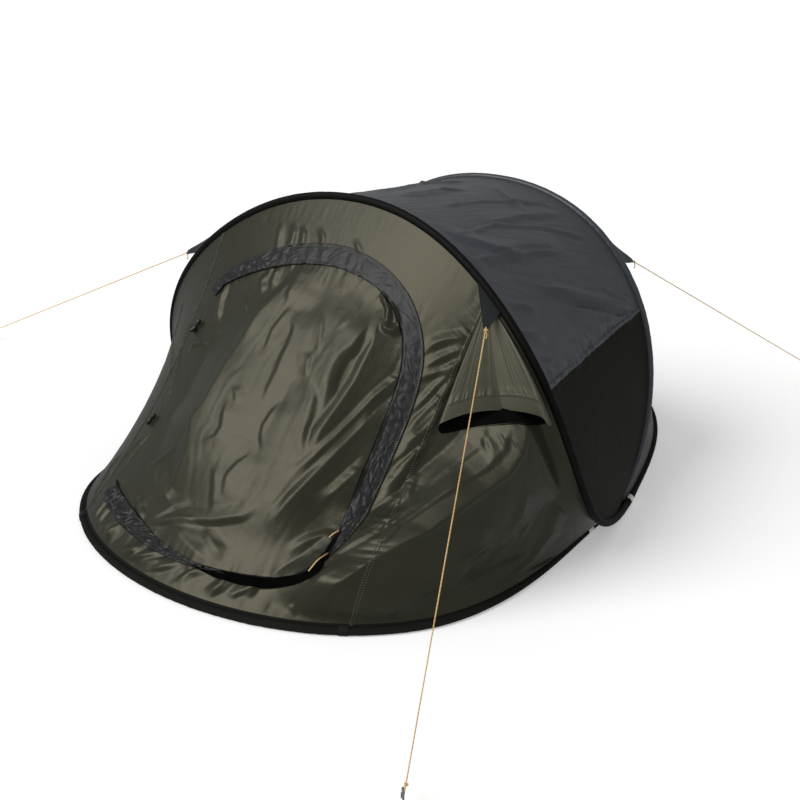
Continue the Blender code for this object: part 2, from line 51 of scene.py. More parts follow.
FRONT_HOOP = (
    (0.000, -1.235, GROUND_Z),
    (0.727, -0.874, GROUND_Z),
    (0.764, -0.183, GROUND_Z),
    (0.745, 0.043, 0.025),
    (0.710, 0.252, 0.159),
    (0.622, 0.374, 0.517),
    (0.367, 0.405, 0.810),
    (0.000, 0.424, 0.896),
)
REAR_HOOP = (
    (0.000, 1.051, GROUND_Z),
    (0.452, 0.769, GROUND_Z),
    (0.692, 0.226, GROUND_Z),
    (0.745, 0.066, 0.016),
    (0.830, -0.267, 0.127),
    (0.747, -0.423, 0.546),
    (0.378, -0.383, 0.894),
    (0.000, -0.346, 0.978),
)
# Where the hoops cross at each side, how far each passes beside that place, and how finely they are drawn
CROSSING_X = 0.745
CROSSING_Y = 0.055
CROSSING_SPREAD = 0.012
FINE_SAMPLES = 2400
# Films between the hoops: stations along the arcs, the first one where the skin is solved and how many times,
# how far the cloth's edge lies from the hoop's middle, and how far each film gives way to its skin
STATIONS = 48
TIP_STATION = 2
SKIN_PASSES = 900
EDGE_INSET = 0.0125
FRONT_SLACK = 0.48
ROOF_SLACK = 0.25
REAR_SLACK = 0.50

# Flat cloth of the front: a across from the middle, b up from the ground hoop. Its seams, and where it ends
CLOTH_WIDTH = 3.1
CLOTH_HEIGHT = 1.31
SEAM_A = CLOTH_WIDTH / 6
TIP_A = 1.53
HEM_A = 1.46
# Flat cloth of the roof and of the rear, the shares where they end, and the roof's seams from its middle
ROOF_WIDTH = 3.5
ROOF_DEPTH = 0.8
REAR_WIDTH = 2.75
REAR_HEIGHT = 1.25
FIRST_SHARE = 0.006
LAST_SHARE = 0.994
SIDE_SEAM_SHARE = 0.257
# The door's sewn side, its middle, and a place 60 mm beside it, where the real cloth bends when the door is
# opened
HINGE_A = -0.430
HINGE_LOW = 0.165
HINGE_MIDDLE = 0.580
HINGE_HIGH = 1.000
BEND = 0.06
# The zip's path from the hinge's top over the door, down its right side and back along its foot
DOOR_EDGE = (
    (HINGE_A, HINGE_HIGH),
    (-0.385, 1.045),
    (-0.260, 1.074),
    (-0.100, 1.100),
    (0.050, 1.110),
    (0.180, 1.092),
    (0.285, 1.040),
    (0.348, 0.950),
    (0.378, 0.800),
    (0.388, 0.550),
    (0.392, 0.320),
    (0.380, 0.200),
    (0.335, 0.138),
    (0.200, 0.108),
    (0.000, 0.092),
    (-0.250, 0.098),
    (-0.375, 0.117),
    (HINGE_A, HINGE_LOW),
)
# How finely the zip's path is drawn, and the shares of it where the door's two right corners lie
ZIP_SAMPLES = 400
TOP_RIGHT_SHARE = 0.300
LOW_RIGHT_SHARE = 0.635

# Folds of the front. Each has its height, the width of the facet turned from the lamp and of the lit one,
# the side of the crest where the first one lies (R to the right and down, L to the left and down, B to the
# left of the line as drawn), and then the places across and up that its crest passes. All are in mm of cloth
DOOR_FOLDS = (
    (48, 150, 240, "L", -88, 1107, -105, 1016, -118, 968, -143, 909, -152, 856, -165, 770, -173, 706, -173,
     631, -173, 561, -190, 497, -177, 454, -165, 406, -156, 348, -143, 273),
    (30, 180, 400, "R", 169, 1096, 229, 1032, 224, 962, 212, 904, 190, 839, 195, 765, 199, 690, 207, 626,
     216, 561, 224, 487, 203, 417, 190, 337, 207, 273, 233, 198),
    (11, 30, 110, "L", -92, 1091, -100, 1021, -126, 968, -152, 914, -165, 856, -173, 781),
    (6.2, 15, 105, "L", -83, 1096, -83, 1032, -79, 984, -66, 941),
    (4.3, 9, 74, "L", -49, 946, -62, 898, -71, 850, -66, 813, -62, 770),
    (5, 14, 84, "L", -32, 925, -2, 866, 6, 818, 6, 770, 11, 722, 11, 668, 19, 620),
    (3, 7, 32, "R", 58, 952, 88, 888, 113, 818),
    (4, 7, 42, "R", 88, 818, 96, 781, 109, 738),
    (8.1, 18, 136, "R", 126, 733, 152, 700, 165, 674, 173, 631, 177, 594, 186, 551, 207, 497),
    (3, 7, 32, "L", -96, 636, -62, 588),
    (5, 10, 84, "L", -92, 594, -83, 540, -71, 503, -75, 465, -105, 438),
    (5.6, 10, 94, "L", 66, 636, 58, 594, 53, 551, 66, 503, 88, 481),
    (4.3, 9, 74, "L", 58, 460, 36, 417, 24, 374, 32, 326, 45, 305),
    (5, 13, 84, "L", -36, 390, -2, 321, 15, 278, 28, 246),
    (3.7, 8, 63, "L", -152, 417, -160, 364, -165, 310, -156, 262),
    (2.4, 7, 60, "R", 6, 1107, 2, 1064, 6, 1016),
    (2.4, 7, 60, "R", 83, 1107, 83, 1059, 88, 1021),
    (2.2, 6, 60, "R", 156, 1048, 156, 1000, 148, 946, 130, 909),
    (14, 34, 190, "R", 216, 1021, 212, 952, 199, 893, 177, 850, 173, 807, 177, 754, 186, 727, 186, 668),
    (13, 90, 26, "R", 233, 1032, 254, 920, 254, 786, 242, 684, 229, 588, 237, 508),
    (10, 26, 20, "R", 366, 877, 327, 775, 301, 679, 276, 594, 246, 513, 220, 465),
    (15, 80, 24, "R", 357, 770, 331, 668, 306, 583, 284, 513, 259, 433, 233, 353, 207, 273),
    (14, 60, 28, "R", 387, 572, 361, 497, 336, 433, 310, 385),
    (9, 40, 24, "R", 396, 321, 327, 267, 284, 209),
    (10, 14, 14, "R", 207, 1080, 250, 1043, 267, 995),
    (9, 12, 10, "R", 242, 1080, 280, 1048, 306, 1011),
    (14, 14, 24, "R", 250, 984, 289, 989, 314, 1011),
    (9, 13, 18, "L", -387, 1048, -378, 962, -348, 866),
    (6, 12, 14, "L", -289, 984, -220, 904),
    (7, 14, 22, "L", -224, 1053, -220, 1016, -199, 978),
    (7, 14, 22, "L", -182, 1075, -177, 1027, -169, 1000),
    (9, 18, 40, "R", -177, 139, -75, 198, 36, 230, 122, 273, 152, 310),
    (6, 12, 26, "R", -199, 134, -156, 176, -113, 225, -66, 257),
    (10, 30, 30, "L", -263, 310, -216, 273, -148, 235, -113, 230),
    (9, 24, 22, "L", -272, 203, -237, 166, -199, 139),
    (12, 60, 60, "L", -96, 182, -28, 150, 53, 123, 109, 112),
    (7, 24, 30, "R", 24, 203, 66, 171, 118, 139),
    (5, 12, 10, "B", -224, 396, -263, 348, -314, 294),
    (6, 12, 12, "B", -344, 791, -430, 786, -438, 754),
    (4, 9, 9, "B", -481, 930, -468, 845, -361, 781),
    (4, 8, 8, "B", -331, 861, -301, 791, -297, 738),
)
PANEL_FOLDS = (
    (9, 22, 26, "R", 532, 1171, 485, 1112, 447, 1069, 421, 1032, 404, 984),
    (9, 20, 24, "R", 541, 1144, 502, 1080, 472, 1032, 447, 989, 417, 930),
    (8, 16, 20, "R", 541, 1107, 507, 1027, 481, 978, 451, 941, 421, 898),
    (8, 16, 18, "R", 532, 1075, 507, 989, 485, 925, 472, 877, 447, 797),
    (9, 15, 16, "R", 532, 1011, 511, 930, 498, 872, 485, 823, 468, 770, 451, 690),
    (9, 14, 16, "R", 532, 978, 515, 893, 507, 834, 485, 765, 460, 679),
    (9, 15, 16, "R", 537, 925, 524, 850, 507, 781, 490, 727, 451, 642),
    (9, 15, 18, "R", 537, 866, 524, 797, 507, 733, 481, 668, 451, 594),
    (9, 16, 18, "R", 532, 754, 511, 679, 485, 610, 468, 556),
    (9, 18, 20, "R", 524, 700, 498, 604, 472, 535, 455, 476),
    (8, 18, 20, "R", 520, 642, 498, 556, 477, 481, 460, 417),
    (9, 18, 20, "R", 528, 604, 528, 535, 541, 465),
    (10, 24, 26, "R", 515, 513, 494, 428, 464, 348),
    (10, 24, 26, "R", 532, 433, 490, 369, 430, 299),
    (16, 90, 60, "R", 656, 684, 631, 561, 596, 465, 554, 380, 511, 310, 455, 246),
    (6, 12, 16, "L", -246, 1235, -233, 1198, -224, 1166, -199, 1101),
    (7, 12, 18, "R", -195, 1230, -173, 1192, -169, 1160, -143, 1101),
    (7, 12, 18, "R", -156, 1219, -135, 1187, -126, 1160, -105, 1101),
    (5, 9, 14, "R", -88, 1214, -62, 1182, -53, 1160, -36, 1112),
    (4, 9, 12, "R", 45, 1198, 75, 1171, 100, 1144),
    (9, 14, 20, "L", -272, 139, -310, 91, -344, 37, -370, 0),
    (8, 10, 12, "L", -413, 150, -425, 96, -430, 48, -425, 16),
    (8, 10, 12, "L", -366, 144, -383, 91, -387, 53, -396, 16),
    (12, 16, 34, "L", -246, 128, -272, 86, -306, 21, -323, 0),
    (10, 14, 26, "L", -126, 96, -139, 75, -199, 21, -233, 0),
    (10, 14, 26, "L", -66, 96, -88, 75, -169, 16, -195, 0),
    (9, 14, 30, "L", 11, 86, -19, 64, -96, 11, -126, 0),
    (7, 10, 20, "L", 88, 96, 49, 64, 19, 21),
    (7, 10, 22, "R", 160, 102, 152, 64, 139, 32),
    (7, 10, 22, "R", 254, 112, 242, 80, 237, 48),
    (8, 8, 60, "R", 780, 1096, 789, 1027, 793, 941, 776, 791, 733, 652, 678, 497, 622, 369, 567, 289),
    (7, 7, 60, "R", 742, 1005, 742, 882, 712, 743, 661, 620, 609, 508, 567, 417, 532, 348),
    (5, 6, 50, "R", 678, 930, 673, 813, 639, 711, 596, 620, 571, 545),
    (8, 40, 60, "L", 1071, 882, 1088, 476, 1033, 182, 939, 64),
    (7, 40, 50, "L", 870, 802, 896, 599, 883, 353, 836, 182),
    (6, 30, 40, "L", 772, 487, 780, 326, 755, 128),
    (6, 14, 30, "L", 682, 893, 708, 845, 720, 770),
    (7, 12, 29, "R", 177, 86, 160, 53, 126, 11),
    (7, 12, 29, "R", 254, 102, 216, 64, 182, 32),
    (10, 22, 53, "L", 451, 219, 413, 144, 396, 70, 387, 32),
    (7, 14, 34, "R", 635, 267, 596, 219, 571, 171, 541, 112),
    (8, 16, 38, "R", 669, 102, 614, 64, 588, 16),
    (4, 8, 8, "B", 464, 70, 485, 43),
    (4, 8, 8, "B", 353, 53, 374, 21),
    (9, 16, 38, "R", 1011, 262, 896, 203, 797, 134, 746, 75),
    (8, 14, 34, "R", 1182, 21, 998, 80, 883, 43),
    (9, 14, 34, "R", 725, 150, 665, 118, 618, 80),
    (8, 25, 25, "B", 823, 369, 772, 299, 733, 225),
    (5, 14, 34, "R", 853, 813, 921, 401),
    (6, 20, 48, "R", 977, 749, 947, 401),
    (3, 8, 8, "B", 874, 1043, 939, 914),
    (4, 10, 10, "B", 665, 856, 703, 791),
    (4, 10, 10, "B", 712, 941, 746, 893),
    (4, 10, 10, "B", 750, 978, 797, 909),
    (7, 12, 29, "R", 575, 492, 532, 422, 494, 337, 447, 278, 413, 230),
    (6, 10, 24, "R", 545, 390, 532, 326, 515, 273),
    (5, 8, 8, "B", -408, 422, -447, 305, -472, 160, -455, 27),
    (5, 8, 8, "B", -541, 289, -575, 187, -549, 80, -485, 16),
    (4, 7, 7, "B", -455, 385, -502, 251, -507, 118),
    (4, 14, 14, "B", -720, 1144, -699, 893, -494, 642),
    (4, 10, 10, "B", -532, 936, -528, 807, -451, 642, -413, 513),
    (8, 22, 22, "B", -284, 80, -293, 16),
    (7, 14, 34, "R", -135, 70, -190, 11),
    (6, 14, 34, "R", -41, 75, -148, 16),
    (5, 12, 29, "R", 62, 21, 36, 0, 11, 0),
)
# The broad crest of the right panel, from the vent's end to the foot of the seam
RIGHT_CREST = (
    (96, 240, 168, "R", 776, 1192, 785, 1107, 793, 1032, 793, 941, 772, 786, 733, 652, 673, 497, 622, 369,
     567, 289, 515, 214, 468, 128, 408, 37),
)
# The same for the roof, its places in thousandths of the arches and of the way from the front arch back
ROOF_FOLDS = (
    (9, 12, 30, "B", 709, 388, 720, 498, 731, 616, 748, 755, 760, 967),
    (8, 10, 34, "B", 676, 314, 688, 412, 703, 543, 726, 714, 753, 947),
    (6, 9, 26, "B", 680, 69, 688, 135, 698, 212),
    (6, 9, 26, "B", 703, 0, 712, 69, 721, 155),
    (6, 9, 22, "B", 712, 767, 727, 849, 745, 984),
    (5, 8, 24, "B", 735, 57, 742, 143, 752, 229),
    (5, 8, 24, "B", 629, 45, 636, 257, 643, 473, 654, 641),
    (5, 8, 22, "B", 734, 327, 745, 433, 761, 584),
    (5, 8, 22, "B", 542, 314, 549, 571, 568, 780, 600, 931),
    (5, 8, 22, "B", 596, 82, 594, 404, 618, 686, 655, 914),
    (9, 18, 43, "R", 683, 359, 709, 559, 737, 792, 752, 951),
    (7, 12, 29, "R", 710, 433, 732, 629, 748, 771),
    (4, 8, 19, "R", 684, 102, 694, 196),
    (4, 8, 19, "R", 708, 45, 717, 131),
    (9, 30, 72, "R", 585, 69, 607, 135, 626, 229, 643, 388),
    (8, 50, 120, "R", 629, 45, 630, 412, 648, 690),
    (6, 20, 48, "R", 597, 0, 628, 0, 647, 57),
    (5, 16, 38, "R", 410, 698, 454, 763, 486, 837),
    (5, 14, 34, "R", 498, 245, 495, 490, 513, 682),
    (6, 30, 72, "R", 589, 359, 593, 649, 607, 898),
    (4, 7, 17, "R", 752, 184, 753, 302, 753, 400),
    (4, 6, 14, "R", 761, 257, 760, 351),
    (4, 7, 17, "R", 770, 298, 772, 404),
    (4, 8, 19, "R", 735, 49, 748, 204),
    (4, 8, 19, "R", 745, 45, 759, 171),
    (4, 7, 17, "R", 737, 494, 750, 620),
    (5, 10, 24, "R", 724, 396, 745, 645, 749, 747),
)


def unit(vectors):
    """Vectors divided by their own length."""
    return vectors / np.linalg.norm(vectors, axis=-1, keepdims=True)


def fold_rows(table):
    """The folds of a table, each with the places of its crest paired up and divided by a thousand."""
    return [(*row[:4], np.reshape(row[4:], (-1, 2)) / 1000) for row in table]


def closed_spline(points, count):
    """Periodic cubic curve through the points. Its knots are spaced by the square root of each chord."""
    points = np.asarray(points, float)
    following = np.roll(points, -1, axis=0)
    step = np.sqrt(np.linalg.norm(following - points, axis=1))
    chord = (following - points) / step[:, None]
    before = np.roll(step, 1)
    index = np.arange(len(points))
    matrix = np.zeros((len(points), len(points)))
    matrix[index, index] = 2 * (step + before)
    matrix[index, index - 1] += step
    matrix[index, (index + 1) % len(points)] += before
    sides = 3 * (step[:, None] * np.roll(chord, 1, axis=0) + before[:, None] * chord)
    slope = np.linalg.solve(matrix, sides)
    knots = np.concatenate([[0], np.cumsum(step)])
    at = np.linspace(0, knots[-1], count, endpoint=False)
    k = np.searchsorted(knots, at, side="right") - 1
    following_k = (k + 1) % len(points)
    width = step[k][:, None]
    u = (at[:, None] - knots[k][:, None]) / width
    start = points[k] * (1 + 2 * u) * (1 - u) ** 2 + slope[k] * width * u * (1 - u) ** 2
    end = points[following_k] * u**2 * (3 - 2 * u) + slope[following_k] * width * u**2 * (u - 1)
    return start + end


def spaced(points, shares):
    """Points at the given shares of a polyline's length."""
    points = np.asarray(points, float)
    run = np.concatenate([[0], np.cumsum(np.linalg.norm(np.diff(points, axis=0), axis=1))])
    at = np.asarray(shares) * run[-1]
    return np.stack([np.interp(at, run, points[:, axis]) for axis in range(points.shape[1])], -1)


def length_of(points):
    """Length of a polyline: the sum of its steps."""
    return float(np.linalg.norm(np.diff(points, axis=0), axis=1).sum())


def open_spline(points, count):
    """Catmull-Rom curve through the points, sampled evenly along its length."""
    points = np.asarray(points, float)
    padded = np.vstack([2 * points[0] - points[1], points, 2 * points[-1] - points[-2]])
    u = np.linspace(0, 1, 17)[:-1, None]
    runs = []
    for p0, p1, p2, p3 in zip(padded, padded[1:], padded[2:], padded[3:]):
        cubic = 2 * p1 + (p2 - p0) * u + (2 * p0 - 5 * p1 + 4 * p2 - p3) * u**2
        runs.append(0.5 * (cubic + (3 * p1 - p0 - 3 * p2 + p3) * u**3))
    return spaced(np.vstack([*runs, points[-1:]]), np.linspace(0, 1, count))


def hoop_arcs(half, spread):
    """The ground arc and the arch of one hoop as fine lines, each from the left crossing to the right."""
    half = np.array(half)
    half[:, 0] *= (CROSSING_X + spread) / CROSSING_X
    loop = closed_spline(np.vstack([half, (half * (-1, 1, 1))[-2:0:-1]]), FINE_SAMPLES)
    loop[:, 2] = np.maximum(loop[:, 2], GROUND_Z)
    side = loop[: FINE_SAMPLES // 2, 1] - CROSSING_Y
    cut = int(np.argmax(side * side[0] < 0))
    ground = np.vstack([loop[-cut:], loop[: cut + 1]])
    arch = loop[cut : FINE_SAMPLES - cut + 1][::-1]
    return ground, arch


def beside(curve, other):
    """The curve moved off its sleeve towards the other one, less where the two come close."""
    towards = other - curve
    apart = np.linalg.norm(towards, axis=1, keepdims=True)
    along = unit(np.gradient(curve, axis=0))
    square = unit(towards - along * (towards * along).sum(-1, keepdims=True))
    return curve + np.minimum(EDGE_INSET, 0.42 * apart) * square


def lookup(grid, x, y):
    """Catmull-Rom value of a grid at column x and row y, both fractional."""
    grid = np.concatenate([2 * grid[:1] - grid[1:2], grid, 2 * grid[-1:] - grid[-2:-1]])
    grid = np.concatenate([2 * grid[:, :1] - grid[:, 1:2], grid, 2 * grid[:, -1:] - grid[:, -2:-1]], 1)
    rows, columns = grid.shape[:2]
    i = np.clip(np.floor(x).astype(int), 0, columns - 4)
    j = np.clip(np.floor(y).astype(int), 0, rows - 4)
    total = 0.0
    for row, across_row in enumerate(blend_weights(y - j)):
        for column, across_column in enumerate(blend_weights(x - i)):
            value = grid[j + row, i + column]
            weight = across_row * across_column
            total = total + (weight[..., None] * value if grid.ndim == 3 else weight * value)
    return total


def blend_weights(u):
    """Weights of four neighbours on a Catmull-Rom curve, u of the way between the middle two."""
    cube = u**3
    square = u**2
    return (
        -0.5 * u + square - 0.5 * cube,
        1 - 2.5 * square + 1.5 * cube,
        0.5 * u + 2 * square - 1.5 * cube,
        -0.5 * square + 0.5 * cube,
    )


class Film:
    """Cloth stretched between two arcs: straight threads pulled part of the way to the stretched skin
    where each point is the mean of its four neighbours, then carried on to the hoops' crossings."""

    def __init__(self, low, high, rows, slack):
        stations = np.arange(STATIONS + 1)
        # Extra stations close to the crossings, where the cloth runs out to a point
        tips = np.array([0.25, 0.6, 1.0, 1.5])
        self.s = np.concatenate([tips, stations[TIP_STATION:-TIP_STATION], STATIONS - tips[::-1]]) / STATIONS
        low = spaced(low, self.s)
        high = spaced(high, self.s)
        first = beside(low, high)
        last = beside(high, low)
        share = np.linspace(0, 1, rows)[:, None, None]
        straight = first[None] * (1 - share) + last[None] * share
        middle = slice(len(tips), -len(tips))
        skin = straight[:, middle].copy()
        for _ in range(SKIN_PASSES):
            around = skin[:-2, 1:-1] + skin[2:, 1:-1] + skin[1:-1, :-2] + skin[1:-1, 2:]
            skin[1:-1, 1:-1] = around / 4
        self.points = straight
        self.points[:, middle] += slack * (skin - straight[:, middle])
        self.rows = rows

    def place(self, s, t):
        """The bare cloth at share s of the arcs' length and share t of the way between them."""
        x = np.interp(s, self.s, np.arange(len(self.s)))
        return lookup(self.points, x, np.asarray(t) * (self.rows - 1))

    def normal(self, s, t):
        """Unit cross product of short steps along s and along t."""
        step = 0.004
        across = self.place(np.asarray(s) + step, t) - self.place(np.asarray(s) - step, t)
        low = np.clip(np.asarray(t) - step, 0, 1)
        high = np.clip(np.asarray(t) + step, 0, 1)
        return unit(np.cross(across, self.place(s, high) - self.place(s, low)))

    def at(self, s, t, rise=0.0):
        """Points of the cloth at shares s and t, raised along its outward normal."""
        s, t, rise = np.broadcast_arrays(s, t, rise)
        return self.place(s, t) + rise[..., None] * self.normal(s, t)


def near_line(a, b, line):
    """Signed distance from each point to a polyline, positive on its left, and the run along it there."""
    best = np.full(a.shape, 1e9)
    signed = np.zeros(a.shape)
    along = np.zeros(a.shape)
    run = 0.0
    for (a0, b0), (a1, b1) in zip(line, line[1:]):
        length = math.hypot(a1 - a0, b1 - b0)
        ua = (a1 - a0) / length
        ub = (b1 - b0) / length
        k = np.clip((a - a0) * ua + (b - b0) * ub, 0, length)
        off_a = a - a0 - k * ua
        off_b = b - b0 - k * ub
        gap = np.hypot(off_a, off_b)
        closer = gap < best
        best = np.where(closer, gap, best)
        signed = np.where(closer, gap * np.sign(ua * off_b - ub * off_a), signed)
        along = np.where(closer, run + k, along)
        run += length
    return signed, along, run


def facets(x):
    """Triangle wave from 0 to 1 with a period of 1: flat slopes between sharp crests and hollows."""
    return np.abs((np.asarray(x) % 1.0) - 0.5) * 2


def smooth(x):
    """Rises from 0 to 1 as x does, by the cubic that is level at both ends."""
    x = np.clip(x, 0, 1)
    return x * x * (3 - 2 * x)


def grain(u, spacing, seed):
    """Smooth random values along a line, one new value each spacing, from -1 to 1."""
    values = np.random.default_rng(seed).uniform(-1, 1, 4096)
    x = np.asarray(u) / spacing + 1000.0
    i = np.floor(x).astype(int)
    return values[i % 4096] + (values[(i + 1) % 4096] - values[i % 4096]) * smooth(x - i)


# Rounding of a fold's crest
CREST_ROUNDING = 0.0012


class Relief:
    """Heights of the folds over a rectangle of flat cloth, kept on a grid of even steps. Lines are given in
    metres, or where there is a scale in shares of it."""

    def __init__(self, low, high, step, scale=(1.0, 1.0)):
        self.low = np.array(low, float)
        self.step = step
        self.scale = np.array(scale, float)
        self.columns = int(round((high[0] - low[0]) / step)) + 1
        self.rows = int(round((high[1] - low[1]) / step)) + 1
        a = self.low[0] + step * np.arange(self.columns)
        b = self.low[1] + step * np.arange(self.rows)
        self.a, self.b = np.meshgrid(a, b)
        self.height = np.zeros(self.a.shape)
        self.turn = np.zeros((*self.a.shape, 2))

    def window(self, line, margin):
        """Rows and columns of the grid that lie within a margin round a line."""
        low = np.floor((line.min(0) - margin - self.low) / self.step).astype(int)
        high = np.ceil((line.max(0) + margin - self.low) / self.step).astype(int) + 1
        low = np.maximum(low, 0)
        return slice(low[1], max(low[1] + 1, high[1])), slice(low[0], max(low[0] + 1, high[0]))

    def press(self, folds, lift=1.0, fade=0.0):
        """Adds each fold: two flat facets that fall from its crest, each over its own width. It fades out
        towards both ends of its line."""
        for height, dark, lit, side, line in folds:
            line = np.array(line) * self.scale
            height = height * 0.001 * lift
            dark = dark * 0.001
            lit = lit * 0.001
            window = self.window(line, max(dark, lit) + 0.02)
            a = self.a[window]
            b = self.b[window]
            away, _, _ = near_line(a, b, line)
            end = line[-1] - line[0]
            length = math.hypot(*end)
            along = ((a - line[0, 0]) * end[0] + (b - line[0, 1]) * end[1]) / length
            left = np.array([-end[1], end[0]])
            faces = {"R": (1, -1), "L": (-1, -1), "B": left}[side]
            # From here the distance is positive on the side of the dark facet
            away = away * (1.0 if np.dot(left, faces) > 0 else -1.0)
            crest = np.sqrt(away**2 + CREST_ROUNDING**2) - CREST_ROUNDING
            taper = fade or min(0.4 * length, 0.05 + 6 * height)
            ends = smooth((along + 0.2 * taper) / taper) * smooth((length - along + 0.2 * taper) / taper)
            self.height[window] += height * ends * np.clip(1 - crest / np.where(away > 0, dark, lit), 0, 1)

    def steer(self, folds, upright=0.1, reach=0.07):
        """Finds the way the folds run at each point: each line's direction, weighted by how near it is.
        Directions are summed at twice their angle, so that both senses of a line agree."""
        self.turn[:] = (-upright, 0.0)
        for height, _, _, _, line in folds:
            line = np.array(line) * self.scale
            window = self.window(line, 3 * reach)
            a = self.a[window]
            b = self.b[window]
            for start, stop in zip(line, line[1:]):
                away, _, length = near_line(a, b, [start, stop])
                way = 2 * math.atan2(stop[1] - start[1], stop[0] - start[0])
                weight = height * length * 3.0 * np.exp(-((away / reach) ** 2))
                self.turn[window] += weight[..., None] * (math.cos(way), math.sin(way))
        angle = 0.5 * np.arctan2(self.turn[..., 1], self.turn[..., 0])
        self.turn = np.stack([np.cos(angle), np.sin(angle)], -1)

    def streaks(self, size, steps, stride, seed):
        """Random values of the given size smeared both ways along the folds' directions, of spread one."""
        # Noise blurred to the size wanted
        noise = np.random.default_rng(seed).normal(size=self.a.shape)
        for _ in range(max(1, round((size / self.step) ** 2))):
            noise = 0.25 * (2 * noise + np.roll(noise, 1, 0) + np.roll(noise, -1, 0))
            noise = 0.25 * (2 * noise + np.roll(noise, 1, 1) + np.roll(noise, -1, 1))
        # Sum of the noise met on a walk along the folds, first one way and then the other
        total = noise.copy()
        row, column = np.indices(self.a.shape)
        for sense in (1.0, -1.0):
            x = column.astype(float)
            y = row.astype(float)
            way = self.turn * sense
            for _ in range(steps):
                x = np.clip(x + way[..., 0] * stride / self.step, 0, self.columns - 1)
                y = np.clip(y + way[..., 1] * stride / self.step, 0, self.rows - 1)
                i = np.round(x).astype(int)
                j = np.round(y).astype(int)
                total += noise[j, i]
                there = self.turn[j, i]
                way = there * np.sign((there * way).sum(-1, keepdims=True) + 1e-9)
        return (total - total.mean()) / total.std()

    def gather(self, line, height, reach, spacing, seed):
        """Puckers square to a seam: random waves along it that die away with the distance from it."""
        line = np.array(line) * self.scale
        window = self.window(line, 3.5 * reach)
        a = self.a[window]
        b = self.b[window]
        away, along, _ = near_line(a, b, line)
        fade = np.exp(-((np.abs(away) / reach) ** 1.5))
        pucker = grain(along, spacing, seed) + 0.5 * grain(along, 0.45 * spacing, seed + 1)
        self.height[window] += 0.001 * height * fade * pucker

    def at(self, a, b):
        """Height at places of the flat cloth, by the curve through four neighbours each way."""
        x = (np.asarray(a) - self.low[0]) / self.step
        y = (np.asarray(b) - self.low[1]) / self.step
        return lookup(self.height, np.clip(x, 0, self.columns - 1), np.clip(y, 0, self.rows - 1))


# Thickness of the cloths as made, the groundsheet's height, and the steps of the grids of cloth
CLOTH = 0.0006
FLAP_CLOTH = 0.0008
TAPE_CLOTH = 0.0012
PATCH_CLOTH = 0.0016
FLOOR_FILM = 0.0005
FLOOR_Z = 0.0022
FINE_STEP = 0.005
PANEL_STEP = 0.007
PLAIN_STEP = 0.010
# Outline of the vent's opening, in shares of the front film
VENT_HOLE = (
    (0.675, 0.880),
    (0.688, 0.940),
    (0.714, 0.948),
    (0.742, 0.948),
    (0.770, 0.952),
    (0.775, 0.930),
    (0.754, 0.850),
    (0.738, 0.783),
    (0.721, 0.718),
    (0.702, 0.658),
    (0.687, 0.614),
    (0.677, 0.594),
    (0.673, 0.640),
    (0.673, 0.760),
)
# Hood: its top corner, the two ends of its hem, how far the hem's middle is cut in, and the cloth's rise
# over the vent by share of the way from the seam to the arch
HOOD_TOP = (0.668, 0.990)
HOOD_LOW = (0.673, 0.606)
HOOD_SIDE = (0.780, 0.987)
HOOD_CUT = ((0, 0), (0.10, 0.013), (0.20, 0.020), (0.36, 0.005), (0.50, -0.012), (0.64, -0.019),
            (0.75, -0.010), (0.85, 0.015), (0.92, 0.032), (1, 0))
HOOD_RISE = 0.088
HOOD_PROFILE = ((0, 0.05), (0.02, 0.38), (0.50, 0.03), (0.985, 0.92), (1, 0.45))
# Storm flap: share of the zip's path, reach outside it and reach inside it, in metres
FLAP_REACH = (
    (0.00, 0.052, 0.010),
    (0.04, 0.058, 0.012),
    (0.10, 0.060, 0.013),
    (0.24, 0.060, 0.010),
    (0.29, 0.068, -0.002),
    (0.35, 0.070, -0.003),
    (0.42, 0.066, 0.001),
    (0.52, 0.060, 0.000),
    (0.58, 0.052, 0.002),
    (0.615, 0.036, 0.004),
    (0.640, 0.020, 0.004),
)
# Height of its crumples, by the same share
FLAP_CRUMPLE = ((0, 0.0060), (0.10, 0.0050), (0.15, 0.0016), (0.34, 0.0014), (0.45, 0.0020), (0.64, 0.0034))
# The low flap runs to the left from the middle of the foot, past the corner of the zip
LOW_FLAP_LINE = (
    (0.160, 0.096),
    (0.050, 0.088),
    (-0.100, 0.090),
    (-0.257, 0.100),
    (-0.400, 0.108),
    (-0.458, 0.112),
)
# Share of that line, reach below it and reach above it, and then the height of its crumples
LOW_FLAP_REACH = (
    (0.00, 0.003, 0.006),
    (0.20, 0.006, 0.012),
    (0.45, 0.010, 0.028),
    (0.66, 0.010, 0.050),
    (0.90, 0.010, 0.066),
    (1.00, 0.004, 0.074),
)
LOW_FLAP_CRUMPLE = ((0, 0.0030), (0.4, 0.0090), (1.0, 0.0125))
# The coil runs beside the zip's path, in so many teeth
ZIP_OFFSET = 0.003
COIL_RADIUS = 0.0026
COIL_RISE = 0.0022
COIL_TEETH = 720
# Line of the strip that covers the zip's lower right corner
ZIP_STRIP = (
    (0.386, 0.200),
    (0.372, 0.163),
    (0.335, 0.136),
    (0.270, 0.116),
    (0.200, 0.105),
    (0.100, 0.096),
    (0.045, 0.092),
)
# Pull cords: the line of each over the cloth, which starts where its slider sits
PULLS = (
    ("low", ((0.390, 0.236), (0.382, 0.196), (0.374, 0.155))),
    ("high", ((0.392, 0.316), (0.385, 0.300), (0.378, 0.284))),
)
PULL_RADIUS = 0.0021
# Rise of a pull cord at its three places, and half the length, the radius and the rise of a slider
PULL_RISE = (0.0085, 0.0125, 0.0085)
SLIDER_HALF = 0.009
SLIDER_RADIUS = 0.0052
SLIDER_RISE = 0.0052
